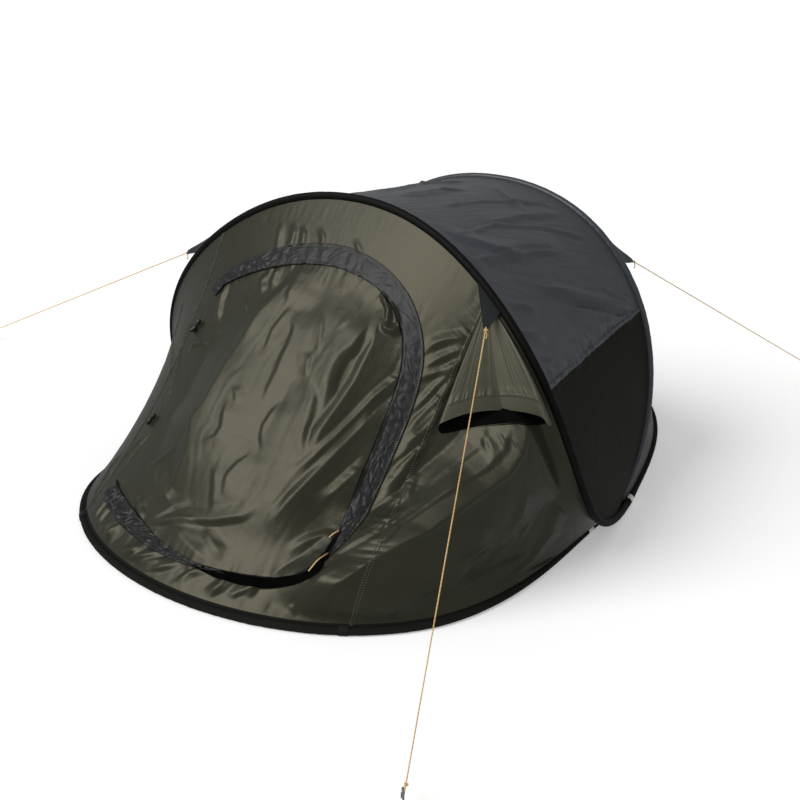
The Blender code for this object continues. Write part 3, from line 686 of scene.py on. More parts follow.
# Toggles: places across and up on the cloth, their length and how far they lean to the right per length
TOGGLES = (("lower", -0.447, 0.450), ("upper", -0.456, 0.868))
TOGGLE_LENGTH = 0.052
TOGGLE_SLANT = 0.45
TOGGLE_RADIUS = 0.0068
TOGGLE_RISE = 0.0085
# Guy lines: the hoop and the share of its arch where each is sewn on, and where its peg stands
GUYS = (
    ("front_right", "front", 0.667, (1.123, -1.541)),
    ("front_left", "front", 0.308, (-2.174, -0.236)),
    ("rear_right", "rear", 0.678, (0.720, 1.575)),
    ("rear_left", "rear", 0.322, (-0.720, 1.575)),
)
# Height of a rope's foot and its radius, how far a patch reaches out and half of its length along the arch,
# a peg's radius, height and the width of its hook, and a knot's size and the radius of its cord
ROPE_FOOT_Z = 0.030
ROPE_RADIUS = 0.00165
GUY_REACH = 0.125
PATCH_HALF = 0.058
PEG_RADIUS = 0.0025
PEG_HEIGHT = 0.055
PEG_HOOK = 0.018
KNOT_SIZE = 0.0045
KNOT_CORD = 0.0017
# Webbing loops and sewn tags, as shares of the ground hoops' length from the left crossing to the right
LOOP_FRONT = 0.661
LOOP_REAR = 0.667
TAG_FRONT = 0.941
TAG_REAR = 0.980
# Sleeves as sewn, and the strip of binding over the foot of the front
SLEEVE_RADIUS = 0.0125
SLEEVE_SIDES = 16
HEM_WIDTH = 0.009
# Raised bands of the felled seams, and how far the stitches lie from the middle of the front's
FRONT_BAND = 0.006
ROOF_BAND = 0.009
STITCH_SHIFT = 0.0042
# Stitches: from one to the next, and the length, the half width and the half height of each
STITCH_SPACING = 0.0075
STITCH_LENGTH = 0.0052
STITCH_WIDTH = 0.0008
STITCH_HEIGHT = 0.0007


def quads(rows, columns, wrap=False):
    """Rows and columns of the corners of each cell of a grid. The column past the last is not wrapped yet."""
    row, column = np.meshgrid(np.arange(rows - 1), np.arange(columns - (not wrap)), indexing="ij")
    row = np.stack([row, row, row + 1, row + 1], -1).reshape(-1, 4)
    column = np.stack([column, column + 1, column + 1, column], -1).reshape(-1, 4)
    return row, column


def add_mesh(name, points, blocks, corner_uv, look, slot, body="tent", stands_for=(), creased=None):
    """A piece from points and blocks of faces of equal size. Its UV map is in metres of cloth. Creased holds
    its sharp edges, each as its lower point times the number of points, plus its higher point."""
    corners = np.concatenate([block.ravel() for block in blocks])
    sizes = np.concatenate([np.full(len(block), block.shape[1]) for block in blocks])
    mesh = bpy.data.meshes.new(name)
    mesh.vertices.add(len(points))
    mesh.vertices.foreach_set("co", np.ascontiguousarray(points, np.float32).ravel())
    mesh.loops.add(len(corners))
    mesh.loops.foreach_set("vertex_index", corners.astype(np.int32))
    mesh.polygons.add(len(sizes))
    mesh.polygons.foreach_set("loop_start", (np.cumsum(sizes) - sizes).astype(np.int32))
    mesh.update(calc_edges=True)
    layer = mesh.uv_layers.new(name="cloth")
    layer.uv.foreach_set("vector", np.ascontiguousarray(corner_uv, np.float32).ravel())
    mesh.shade_smooth()
    if creased is not None:
        ends = np.empty(2 * len(mesh.edges), np.int32)
        mesh.edges.foreach_get("vertices", ends)
        ends = np.sort(ends.reshape(-1, 2), axis=1).astype(np.int64)
        sharp = np.isin(ends[:, 0] * len(points) + ends[:, 1], creased)
        mark = mesh.attributes.new("sharp_edge", "BOOLEAN", "EDGE")
        mark.data.foreach_set("value", sharp)
    obj = bpy.data.objects.new(name, mesh)
    bpy.context.scene.collection.objects.link(obj)
    mesh.materials.append(look)
    if body:
        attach(obj, body)
    if stands_for:
        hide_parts(*stands_for)
    return obj


def vertex_normals(points, faces):
    """Unit sum of the normals of the faces round each point, each from the cross of its diagonals."""
    diagonals = np.cross(points[faces[:, 2]] - points[faces[:, 0]], points[faces[:, 3]] - points[faces[:, 1]])
    normals = np.zeros(points.shape)
    for corner in range(4):
        np.add.at(normals, faces[:, corner], diagonals)
    return normals / np.maximum(np.linalg.norm(normals, axis=1, keepdims=True), 1e-12)


def cloth(name, points, faces, flat, look, slot, thickness=CLOTH, **more):
    """A closed shell: the given outer side, the same moved in by the thickness, and a rim between them
    along each edge that only one face uses."""
    count = len(points)
    inner = points - thickness * vertex_normals(points, faces)
    start = faces.ravel()
    end = np.roll(faces, -1, axis=1).ravel()
    alone = ~np.isin(start * count + end, end * count + start)
    start = start[alone]
    end = end[alone]
    rim = np.stack([end, start, start + count, end + count], -1)
    blocks = [np.concatenate([faces, faces[:, ::-1] + count, rim])]
    both = np.vstack([flat, flat])
    low = np.minimum(start, end)
    high = np.maximum(start, end)
    creased = np.concatenate([low * 2 * count + high, (low + count) * 2 * count + high + count])
    shell = np.vstack([points, inner])
    return add_mesh(name, shell, blocks, both[blocks[0]], look, slot, creased=creased, **more)


def cloth_grid(name, grid, flat, look, slot, wrap=False, **more):
    """A cloth shell over a grid of points (rows, columns, 3), outer side where columns cross rows."""
    rows, columns = grid.shape[:2]
    row, column = quads(rows, columns, wrap)
    faces = row * columns + column % columns
    return cloth(name, grid.reshape(-1, 3), faces, flat.reshape(-1, 2), look, slot, **more)


def rod(name, path, radius, look, slot, sides=12, hint=(0, 0, 1), **more):
    """A rod along a path: rings of the given radius square to it, turned by the hint, with domed ends.
    The radius may differ from ring to ring, or from point to point of a ring."""
    path = np.asarray(path, float)
    along = unit(np.gradient(path, axis=0))
    side = unit(np.cross(np.asarray(hint, float), along))
    other = np.cross(along, side)
    angle = np.linspace(0, 2 * np.pi, sides, endpoint=False)
    radius = np.asarray(radius, float)
    if radius.ndim == 1:
        radius = radius[:, None]
    radius = np.broadcast_to(radius, (len(path), sides))
    round_way = np.cos(angle)[:, None] * side[:, None] + np.sin(angle)[:, None] * other[:, None]
    rings = path[:, None] + radius[..., None] * round_way
    run = np.concatenate([[0], np.cumsum(np.linalg.norm(np.diff(path, axis=0), axis=1))])
    row, column = quads(len(path), sides, True)
    faces = row * sides + column % sides
    reach = float(radius.mean()) * 2 * np.pi / sides
    corner_uv = np.stack([run[row], column * reach], -1).reshape(-1, 2)
    first = len(path) * sides
    dome = 0.35 * np.array([-radius[0].mean(), radius[-1].mean()])[:, None]
    tips = path[[0, -1]] + dome * along[[0, -1]]
    ring = np.arange(sides)
    start_cap = np.stack([np.full(sides, first), (ring + 1) % sides, ring], -1)
    last = first - sides
    end_cap = np.stack([np.full(sides, first + 1), ring + last, (ring + 1) % sides + last], -1)
    caps = np.concatenate([start_cap, end_cap])
    cap_uv = np.zeros((caps.size, 2))
    points = np.vstack([rings.reshape(-1, 3), tips])
    points[:, 2] = np.maximum(points[:, 2], 0.0002)
    return add_mesh(name, points, [faces, caps], np.vstack([corner_uv, cap_uv]), look, slot, **more)


def stitches(name, runs, look, slot):
    """Rows of thread along lines on the cloth, given as points and normals. Each stitch is a long
    octahedron: two ends and four points round its middle."""
    places = []
    for path, normals in runs:
        count = max(2, int(length_of(path) / STITCH_SPACING))
        both = spaced(np.hstack([path, normals * 1e-6]), (np.arange(count) + 0.5) / count)
        middle = both[:, :3]
        up = unit(both[:, 3:])
        way = unit(np.gradient(middle, axis=0))
        places.append(np.stack([middle, way, np.cross(up, way), up], 1))
    frames = np.concatenate(places)
    corner = np.array([(-1, 0, 0), (0, -1, 0), (0, 0, 1), (0, 1, 0), (0, 0, -1), (1, 0, 0)])
    corner = corner * (STITCH_LENGTH / 2, STITCH_WIDTH, STITCH_HEIGHT)
    points = frames[:, None, 0] + np.einsum("ck,nkx->ncx", corner, frames[:, 1:])
    faces = np.array([(0, 1, 2), (0, 2, 3), (0, 3, 4), (0, 4, 1), (5, 2, 1), (5, 3, 2), (5, 4, 3), (5, 1, 4)])
    faces = faces[:, ::-1]
    every = (faces[None] + 6 * np.arange(len(frames))[:, None, None]).reshape(-1, 3)
    uv = np.zeros((every.size, 2))
    return add_mesh(name, points.reshape(-1, 3), [every], uv, look, slot)


def linear(channel):
    """Linear light of an sRGB channel, by the standard's straight foot and its power of 2.4 above."""
    return channel / 12.92 if channel <= 0.04045 else ((channel + 0.055) / 1.055) ** 2.4


def colour(code):
    """Linear colour from an sRGB hex value."""
    return (*(linear(int(code[i : i + 2], 16) / 255) for i in (0, 2, 4)), 1.0)


def add(tree, kind, inputs=(), **settings):
    """Adds a node. Each input is a name or number with a value or with the socket that feeds it."""
    node = tree.nodes.new(kind)
    for key, value in settings.items():
        setattr(node, key, value)
    for key, value in dict(inputs).items():
        if isinstance(value, bpy.types.NodeSocket):
            tree.links.new(value, node.inputs[key])
        else:
            node.inputs[key].default_value = value
    return node


# Sockets of a mix node that are set for colours
MIX_FACTOR = 0
MIX_FROM = 6
MIX_TO = 7
MIX_RESULT = 2


def woven(name, base, shade, roughness, thread, crumple, gloss=0.5, gloss_tint="FFFFFF", metallic=0.0):
    """A look on the piece's own UV map in metres. Noise stretched along warp and weft gives the threads,
    ridged noise the small creases, and wide noise moves the colour up to half of the way from the base to
    the shade."""
    made = bpy.data.materials.new(name)
    made.use_nodes = True
    tree = made.node_tree
    shader = tree.nodes["Principled BSDF"]
    place = add(tree, "ShaderNodeUVMap", uv_map="cloth").outputs["UV"]
    warp_place = add(tree, "ShaderNodeMapping", {"Vector": place, "Scale": (1 / thread, 0.12 / thread, 1)})
    weft_place = add(tree, "ShaderNodeMapping", {"Vector": place, "Scale": (0.12 / thread, 1 / thread, 1)})
    warp = add(tree, "ShaderNodeTexNoise", {"Vector": warp_place.outputs[0], "Scale": 1.0, "Detail": 2.0})
    weft = add(tree, "ShaderNodeTexNoise", {"Vector": weft_place.outputs[0], "Scale": 1.0, "Detail": 2.0})
    weave = add(tree, "ShaderNodeMath", {0: warp.outputs[0], 1: weft.outputs[0]}, operation="ADD")
    wide = add(tree, "ShaderNodeTexNoise", {"Vector": place, "Scale": 3.0, "Detail": 5.0, "Roughness": 0.6})
    creases = add(tree, "ShaderNodeTexNoise",
                  {"Vector": place, "Scale": 22.0, "Detail": 3.0, "Roughness": 0.55, "Distortion": 0.4},
                  noise_type="RIDGED_MULTIFRACTAL", normalize=True)
    mottle = add(tree, "ShaderNodeMath", {0: wide.outputs[0], 1: weave.outputs[0]}, operation="MULTIPLY")
    share = add(tree, "ShaderNodeMapRange", {0: mottle.outputs[0], 1: 0.35, 2: 0.65, 3: 0.0, 4: 0.5})
    tint = add(tree, "ShaderNodeMix", {MIX_FACTOR: share.outputs[0], MIX_FROM: colour(base),
                                       MIX_TO: colour(shade)}, data_type="RGBA")
    tree.links.new(tint.outputs[MIX_RESULT], shader.inputs["Base Color"])
    crease_bump = add(tree, "ShaderNodeBump",
                      {"Height": creases.outputs[0], "Strength": 1.0, "Distance": crumple})
    weave_bump = add(tree, "ShaderNodeBump", {"Height": weave.outputs[0], "Strength": 0.5, "Distance": 0.0005,
                                              "Normal": crease_bump.outputs[0]})
    tree.links.new(weave_bump.outputs[0], shader.inputs["Normal"])
    shader.inputs["Roughness"].default_value = roughness
    shader.inputs["Metallic"].default_value = metallic
    shader.inputs["Specular IOR Level"].default_value = gloss
    shader.inputs["Specular Tint"].default_value = colour(gloss_tint)
    return made


# Width of the threads as drawn, in metres. All are too fine for the picture and drawn coarser than real: the
# threads of taffeta some twenty times, the yarns of webbing, netting, grosgrain and cord three to five
# times. Film, wire and moulded parts have no threads and get faint marks instead
TAFFETA = 0.003
GROSGRAIN = 0.004
BRAID = 0.0035
MARKS = 0.010
# Tint of the coated cloth's sheen, a warm white
WARM = "FDF4D6"

# Olive polyester taffeta, coated and pressed smooth: khaki satin where it faces the lamp, else nearly black
olive = woven("olive_coated_taffeta", "282920", "212219", 0.36, TAFFETA, 0.0003, 0.42, WARM)
# The same cloth copied a little lighter and greyer: painted light, for how the side panels take the lamp
olive_painted_side_light = woven("olive_taffeta_painted_side_light", "2C2D25", "242620", 0.37, TAFFETA, 0.0003, 0.40, WARM)
# The same cloth copied with a lighter base, rougher and with a stronger gloss: its lighter colour is painted
# light, so that the hood shows an even khaki
hood_painted_lit = woven("olive_taffeta_painted_lit_hood", "3C3D32", "32332A", 0.54, TAFFETA, 0.0003, 1.0, WARM)
# Slate polyester taffeta: blue-grey, with broad soft highlights
slate = woven("slate_coated_taffeta", "404449", "34373B", 0.36, TAFFETA, 0.0004, 0.40)
# Black polyester taffeta, coated on the inside: flat and almost without sheen
black_cloth = woven("black_coated_taffeta", "262721", "1D1E19", 0.55, TAFFETA, 0.0002, 0.03)
# Thin charcoal polyester of the flaps: crumples catch a silvery light
charcoal = woven("charcoal_flap_cloth", "242524", "1E1E1E", 0.38, TAFFETA, 0.0002, 0.24)
# Doubled slate-black cloth of the guy patches: dark, with a weak satin sheen
patch_look = woven("dark_reinforcing_cloth", "26282A", "1C1D1F", 0.42, TAFFETA, 0.0003, 0.34)
# Ribbed polyester grosgrain over the arch and zip: matt black
binding = woven("black_grosgrain_binding", "0B0B0A", "0F0F0D", 0.60, GROSGRAIN, 0.0003, 0.12)
# The same binding copied in a lighter grey and duller where it lies on the ground: the grey is painted light
ground_binding_painted_light = woven("grosgrain_binding_painted_light", "20211D", "191A17", 0.80, GROSGRAIN, 0.0003, 0.05)
# Zip webbing, darker than the binding and nearly without gloss: its near-black is partly its own black and
# partly painted shadow along the zip's foot
zip_strip_painted_shadow = woven("zip_webbing_painted_shadow", "050504", "080807", 0.85, GROSGRAIN, 0.0003, 0.02)
# Woven polypropylene webbing of the peg loops: deep black, dull
webbing = woven("black_polypropylene_webbing", "070707", "0B0B0A", 0.85, TAFFETA, 0.0002)
# Knitted insect netting: seen from afar as a black hole under the hood
mesh_net = woven("black_insect_netting", "080807", "050504", 0.85, TAFFETA, 0.0002, 0.05)
# Extruded polyethylene film: grey, with a fine crumple and a little gloss
floor_film = woven("grey_polyethylene_groundsheet", "333433", "2A2B2A", 0.42, GROSGRAIN, 0.0012)
# Braided polypropylene cord, tan: its pale cream base is partly painted highlight, and the darker orange
# mixed in at random is painted shade of the hollows between its strands
cord_look = woven("tan_braided_cord", "EBC88C", "C08A45", 0.75, BRAID, 0.0004)
# Woven satin label tape: off-white, bare
tape_look = woven("pale_label_tape", "F2F0EA", "DAD8D0", 0.65, TAFFETA, 0.0002)
# Twisted polyester thread in pale olive: a dashed line along the seams
pale_thread = woven("olive_sewing_thread", "8C8874", "3F3E33", 0.6, TAFFETA, 0.0001)
# Moulded acetal of the coil, sliders and toggles: black with a small clear highlight
plastic = woven("black_moulded_acetal", "181817", "232321", 0.35, MARKS, 0.0001)
# Zinc-plated steel wire of the pegs: cool grey, softly reflecting
steel = woven("zinc_plated_steel", "B4B4B0", "9A9A96", 0.32, MARKS, 0.0001, metallic=1.0)

ground_front, arch_rear = hoop_arcs(FRONT_HOOP, -CROSSING_SPREAD)
ground_rear, arch_front = hoop_arcs(REAR_HOOP, CROSSING_SPREAD)
front = Film(ground_front, arch_front, 13, FRONT_SLACK)
roof = Film(arch_front, arch_rear, 9, ROOF_SLACK)
rear = Film(arch_rear, ground_rear, 11, REAR_SLACK)


def points_on(film, relief, width, height, middle=0.0):
    """A function from flat cloth to space: its two places, divided by the cloth's width and height, find the
    film, and its relief and a rise lift it along the normal. Middle is the share where the first is 0."""

    def points_of(flat, rise=0.0):
        """Points in space of places in flat cloth, raised over it."""
        s = middle + flat[..., 0] / width
        return film.at(s, flat[..., 1] / height, relief.at(flat[..., 0], flat[..., 1]) + rise)

    return points_of


def gather_border(relief, width, height, seams, seam_gather, edge_gather):
    """Puckers along the seams and the two long edges of a film. All its folds fade out at its border."""
    for seam in seams:
        relief.gather(((seam, 0.0), (seam, 1.0)), *seam_gather)
    for edge in (0.0, 1.0):
        relief.gather(((0.02, edge), (0.98, edge)), *edge_gather)
    relief.height *= smooth(relief.b / 0.05) * smooth((height - relief.b) / 0.05)
    relief.height *= smooth(relief.a / 0.3) * smooth((width - relief.a) / 0.3)


def sew_panels(points_of, height, step, spans):
    """Cloth panels side by side on one film, each between two places across it."""
    for name, low, high, hole, look, slot, node in spans:
        flat, faces = grid_flat((low, 0.0), (high, height), step, hole)
        cloth(name, points_of(flat), faces, flat, look, slot, stands_for=(node,))


def grid_flat(low, high, step, hole=None):
    """Even flat cloth from corner to corner. Cells inside the hole, whose outline runs clockwise, are left
    out, and the corners just inside it are moved to the nearest point of its outline."""
    columns = int(round((high[0] - low[0]) / step)) + 1
    rows = int(round((high[1] - low[1]) / step)) + 1
    across = np.linspace(low[0], high[0], columns)
    upward = np.linspace(low[1], high[1], rows)
    flat = np.stack(np.meshgrid(across, upward), -1).reshape(-1, 2)
    row, column = quads(rows, columns)
    faces = row * columns + column
    if hole is None:
        return flat, faces
    closed = np.vstack([hole, hole[:1]])
    away, along, run = near_line(flat[:, 0], flat[:, 1], closed)
    inside = away < 0
    faces = faces[~inside[faces].all(axis=1)]
    flat[inside] = spaced(closed, along[inside] / run)
    used, faces = np.unique(faces, return_inverse=True)
    return flat[used], faces.reshape(-1, 4)


# Folds of the front
front_relief = Relief((-1.56, -0.02), (1.56, 1.33), FINE_STEP)
zip_path = open_spline(DOOR_EDGE, ZIP_SAMPLES + 1)
door_folds = fold_rows(DOOR_FOLDS)
panel_folds = fold_rows(PANEL_FOLDS)
# The door's big bellies, over 20 mm high, die away towards the zip and the top
BELLY = 20
front_relief.press([fold for fold in door_folds if fold[0] > BELLY])
from_zip, _, _ = near_line(front_relief.a, front_relief.b, zip_path[::4])
lower_down = 0.35 + 0.65 * smooth((1.0 - front_relief.b) / 0.45)
front_relief.height *= smooth((-from_zip - 0.004) / 0.16) * lower_down
front_relief.press([fold for fold in door_folds if fold[0] <= BELLY])
front_relief.press(panel_folds)
front_relief.press(fold_rows(RIGHT_CREST), fade=0.14)
front_relief.steer(door_folds + panel_folds, 0.25, 0.10)
away_from_edges = smooth(front_relief.b / 0.05) * smooth((CLOTH_HEIGHT - front_relief.b) / 0.06)
away_from_tips = smooth((1.50 - np.abs(front_relief.a)) / 0.30)
calm_top = 0.35 + 0.65 * smooth((1.20 - front_relief.b) / 0.12)
# Fine creases that run with the folds, then gathers along the zip, the two seams and both edges
long_streaks = facets(0.60 * front_relief.streaks(0.024, 26, 0.007, 3))
short_streaks = facets(0.55 * front_relief.streaks(0.011, 14, 0.006, 4))
front_relief.height -= 0.0007 * long_streaks * calm_top
front_relief.height -= 0.0002 * short_streaks * calm_top
front_relief.gather(zip_path, 2.0, 0.030, 0.016, 21)
front_relief.gather(((-SEAM_A, 0.0), (-SEAM_A, CLOTH_HEIGHT)), 1.6, 0.028, 0.015, 22)
front_relief.gather(((SEAM_A, 0.0), (SEAM_A, CLOTH_HEIGHT)), 2.0, 0.034, 0.015, 23)
front_relief.gather(((-1.5, 0.0), (1.5, 0.0)), 2.4, 0.040, 0.022, 24)
front_relief.gather(((-1.5, CLOTH_HEIGHT), (1.5, CLOTH_HEIGHT)), 1.6, 0.035, 0.018, 25)
front_relief.height *= away_from_edges * away_from_tips


def calm_under(line, reach, left_over):
    """Lowers the folds of the front under a flap, so that it lies flat on the cloth."""
    reach = np.array(reach)
    away, along, run = near_line(front_relief.a, front_relief.b, line)
    share = along / run
    outer = np.interp(share, reach[:, 0], reach[:, 1])
    inner = np.interp(share, reach[:, 0], reach[:, 2])
    # 1 under the flap, falling to 0 over a few millimetres at its sides and cut off at its ends
    under = smooth((outer - away) / 0.008) * smooth((away + inner) / 0.006)
    under = under * (share > reach[0, 0] - 0.01) * (share < reach[-1, 0] + 0.01)
    front_relief.height *= 1 - (1 - left_over) * under


calm_under(open_spline(DOOR_EDGE, 121), FLAP_REACH, 0.12)


front_points = points_on(front, front_relief, CLOTH_WIDTH, CLOTH_HEIGHT, 0.5)
hinge_rise = np.linspace(HINGE_LOW, HINGE_HIGH, 60)[1:-1]
hinge_line = np.stack([np.full(len(hinge_rise), HINGE_A), hinge_rise], -1)
door_hole = np.vstack([zip_path, hinge_line])
vent_hole = closed_spline(VENT_HOLE, 60)
vent_flat = np.stack([(vent_hole[:, 0] - 0.5) * CLOTH_WIDTH, vent_hole[:, 1] * CLOTH_HEIGHT], -1)
sew_panels(front_points, CLOTH_HEIGHT, FINE_STEP, (
    ("centre_panel_cloth", -SEAM_A, SEAM_A, door_hole, olive, "olive_polyester", "front_centre_panel"),
))
# The side panels take the copy of the olive cloth whose colour is painted light
sew_panels(front_points, CLOTH_HEIGHT, PANEL_STEP, (
    ("right_panel_cloth", SEAM_A, TIP_A, vent_flat, olive_painted_side_light, "dark_olive_polyester", "front_right_panel"),
    ("left_panel_cloth", -TIP_A, -SEAM_A, None, olive_painted_side_light, "dark_olive_polyester", "front_left_panel"),
))


def coons(bottom, top, left, right):
    """Surface between four curves: opposite pairs blended, less the blend of the four corners."""
    u = np.linspace(0, 1, len(bottom))[None, :, None]
    v = np.linspace(0, 1, len(left))[:, None, None]
    ruled = (1 - v) * bottom[None] + v * top[None] + (1 - u) * left[:, None] + u * right[:, None]
    corners = (1 - v) * ((1 - u) * bottom[0] + u * bottom[-1]) + v * ((1 - u) * top[0] + u * top[-1])
    return ruled - corners


def leftward(line):
    """Unit steps to the left of a line in flat cloth, square to it."""
    run = np.gradient(line, axis=0)
    return unit(np.stack([-run[:, 1], run[:, 0]], -1))


def offset_line(line, distance):
    """A line in flat cloth moved to its left by a distance, which may differ from point to point."""
    return line + leftward(line) * np.reshape(distance, (-1, 1))


# Door: its rim 1 mm inside the zip's path, cut into four sides at its two right corners
door_rim = offset_line(zip_path, -0.001)
door_rim[:, 0] = np.maximum(door_rim[:, 0], HINGE_A)
DOOR_COLUMNS = 165
DOOR_ROWS = 190
top_right = int(TOP_RIGHT_SHARE * ZIP_SAMPLES)
low_right = int(LOW_RIGHT_SHARE * ZIP_SAMPLES)
top = spaced(door_rim[: top_right + 1], np.linspace(0, 1, DOOR_COLUMNS))
right = spaced(door_rim[top_right : low_right + 1][::-1], np.linspace(0, 1, DOOR_ROWS))
bottom = spaced(door_rim[low_right:][::-1], np.linspace(0, 1, DOOR_COLUMNS))
left = np.linspace(door_rim[-1], door_rim[0], DOOR_ROWS)
door_flat = coons(bottom, top, left, right)
door_cloth = cloth_grid("door_cloth", front_points(door_flat), door_flat, olive, "olive_polyester", body=None,
                        stands_for=("door_leaf",))
hinge_middle = front_points(np.array([HINGE_A, HINGE_MIDDLE]))
beside_hinge = front_points(np.array([HINGE_A + BEND, HINGE_MIDDLE]))
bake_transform(door_cloth)


def ribbon(path, low, high, rows, rise):
    """Strip beside a line in flat cloth, from low to high metres to its left, raised over the cloth."""
    share = np.linspace(0, 1, rows)[:, None]
    offset = np.broadcast_to(low, len(path)) * (1 - share) + np.broadcast_to(high, len(path)) * share
    flat = path[None] + leftward(path)[None] * offset[..., None]
    return flat, front_points(flat, np.broadcast_to(rise, offset.shape))


def flap(line, reach, rows, seed, crumple):
    """A strip sewn down along its outer edge and loose along the inner one, with fine lengthwise gathers
    and puckers across. Crumple gives the height of its random creases as (share, metres) pairs."""
    reach = np.array(reach)
    length = length_of(line)
    share = np.linspace(reach[0, 0], reach[-1, 0], int(length * (reach[-1, 0] - reach[0, 0]) / 0.0045))
    path = spaced(line, share)
    outer = np.interp(share, reach[:, 0], reach[:, 1])
    inner = np.interp(share, reach[:, 0], reach[:, 2])
    height = np.interp(share, *np.transpose(crumple))
    across = np.linspace(0, 1, rows)[:, None]
    run = share[None] * length
    ends = smooth((share - share[0]) * length / 0.02) * smooth((share[-1] - share) * length / 0.02)
    # A slow wander keeps the gathers from running straight
    wander = 0.9 * grain(run, 0.09, seed) + 0.5 * grain(run, 0.035, seed + 1)
    place = across * 0.075 + 0.006 * wander
    # Gathers along the strip every 11 mm, puckers across it every 50 mm, and creases that lean both ways
    gathers = facets(place / 0.011 + 0.4 * wander) + 0.5 * grain(place, 0.005, seed + 3)
    puckers = facets(0.8 * grain(run + 0.6 * across * 0.05, 0.045, seed + 4) + run / 0.05)
    falling = 1.3 * grain(run + 0.9 * place, 0.042, seed + 5)
    rising = 1.1 * grain(run - 1.1 * place, 0.034, seed + 6)
    creases = facets(falling + rising)
    # All are strongest in the middle of the strip, and the gathers in the later half of its length
    middle = np.sin(np.pi * np.clip(across * 1.10, 0, 1)) ** 0.6
    lengthwise = 0.25 + 0.75 * smooth((share - 0.42) / 0.08)[None]
    lifted = 0.0024 + 0.0018 * (1 - across) ** 1.5 * ends
    gathered = middle * (0.0008 * lengthwise * gathers + 0.0022 * puckers)
    crumpled = height * (0.35 + 0.65 * middle) * creases * ends
    # Piping beside the outer edge and a hem beside the inner one
    piping = 0.0020 * np.exp(-(((across - 0.95) / 0.035) ** 2))
    hem = 0.0010 * np.exp(-(((across - 0.05) / 0.05) ** 2))
    flat, points = ribbon(path, -inner, outer, rows, lifted + gathered + crumpled + piping + hem)
    return flat, points, path, outer


flat, points, flap_path, flap_outer = flap(zip_path, FLAP_REACH, 22, 31, FLAP_CRUMPLE)
cloth_grid("storm_flap_cloth", points, flat, charcoal, "charcoal_polyester", thickness=FLAP_CLOTH,
           stands_for=("storm_flap",))
low_line = open_spline(LOW_FLAP_LINE, 121)
flat, points, _, _ = flap(low_line, LOW_FLAP_REACH, 16, 41, LOW_FLAP_CRUMPLE)
cloth_grid("low_flap_cloth", points, flat, charcoal, "charcoal_polyester", thickness=FLAP_CLOTH)


def vent_hood():
    """Hood over the vent: a fan from its top corner between the seam and the arch, its rise a profile of
    flat facets across, growing evenly down to a hem cut in an arc, with puckers over the hem's seam."""
    down, across = np.meshgrid(np.linspace(0, 1, 84), np.linspace(0, 1, 110), indexing="ij")
    top = np.array(HOOD_TOP)
    narrow = np.array([0.005, 0.0])
    # Places between the fan's two sides, drawn up towards the corner where the hem is cut in
    sleeve_side = top + narrow + (np.array(HOOD_SIDE) - top - narrow) * down[..., None]
    seam_side = top + (np.array(HOOD_LOW) - top) * down[..., None]
    shares = seam_side + (sleeve_side - seam_side) * across[..., None]
    shares += (top - shares) * (np.interp(across, *np.transpose(HOOD_CUT)) * down**2)[..., None]
    profile = np.interp(across, *np.transpose(HOOD_PROFILE))
    edge = smooth(across * 14) * smooth((1 - across) * 14)
    right = smooth((across - 0.45) / 0.15)
    # Rays from the corner, stronger on the right, a fine grain, and short folds along the seam
    rays = 0.0016 * (0.25 + 0.75 * right) * facets(across * 5 + 0.9 * grain(across, 0.11, 51)
                                                   + 0.25 * grain(down, 0.3, 53))
    fine = 0.0004 * grain(across + 0.02 * down, 0.020, 54)
    seam_folds = 0.0007 * facets(across * 34 + 0.3 * grain(down, 0.12, 55)) * (across < 0.12)
    # Puckers that end at the hem, whose seam stands up as a ridge
    hem_top = smooth((down - 0.83) / 0.03)
    puckers = 0.0036 * facets(across * 14 + 0.9 * grain(across, 0.05, 52)) * smooth((down - 0.74) / 0.09)
    folds = (rays * smooth(down * 2) + fine + puckers) * (1 - hem_top) + seam_folds
    ridge = 0.0022 * np.exp(-(((down - 0.845) / 0.008) ** 2)) + 0.0012 * hem_top
    rise = 0.0035 + HOOD_RISE * profile * down**1.1 + (folds * smooth((1 - down) * 3 + 0.6) + ridge) * edge
    points = front.at(shares[..., 0], shares[..., 1], rise)[::-1]
    flat = np.stack([(shares[..., 0] - 0.5) * CLOTH_WIDTH, shares[..., 1] * CLOTH_HEIGHT], -1)[::-1]
    return points, flat


points, flat = vent_hood()
# The hood's lighter colour is painted light
cloth_grid("vent_hood_cloth", points, flat, hood_painted_lit, "olive_polyester", stands_for=("front_vent_hood",))

# Insect mesh in the vent: a disc of rings drawn in from the hole's edge
rings = np.linspace(0.05, 1.03, 12)[:, None, None]
vent_middle = vent_flat.mean(0)
disc = vent_middle + (vent_flat[::-1][None] - vent_middle) * rings
rim_rise = front_relief.at(vent_flat[::-1, 0], vent_flat[::-1, 1])[None]
disc_s = 0.5 + disc[..., 0] / CLOTH_WIDTH
disc_points = front.at(disc_s, disc[..., 1] / CLOTH_HEIGHT, rim_rise * rings[..., 0] ** 3 - 0.001)
cloth_grid("vent_netting", disc_points[::-1], disc[::-1], mesh_net, "black_mesh", wrap=True,
           stands_for=("front_vent_mesh",))

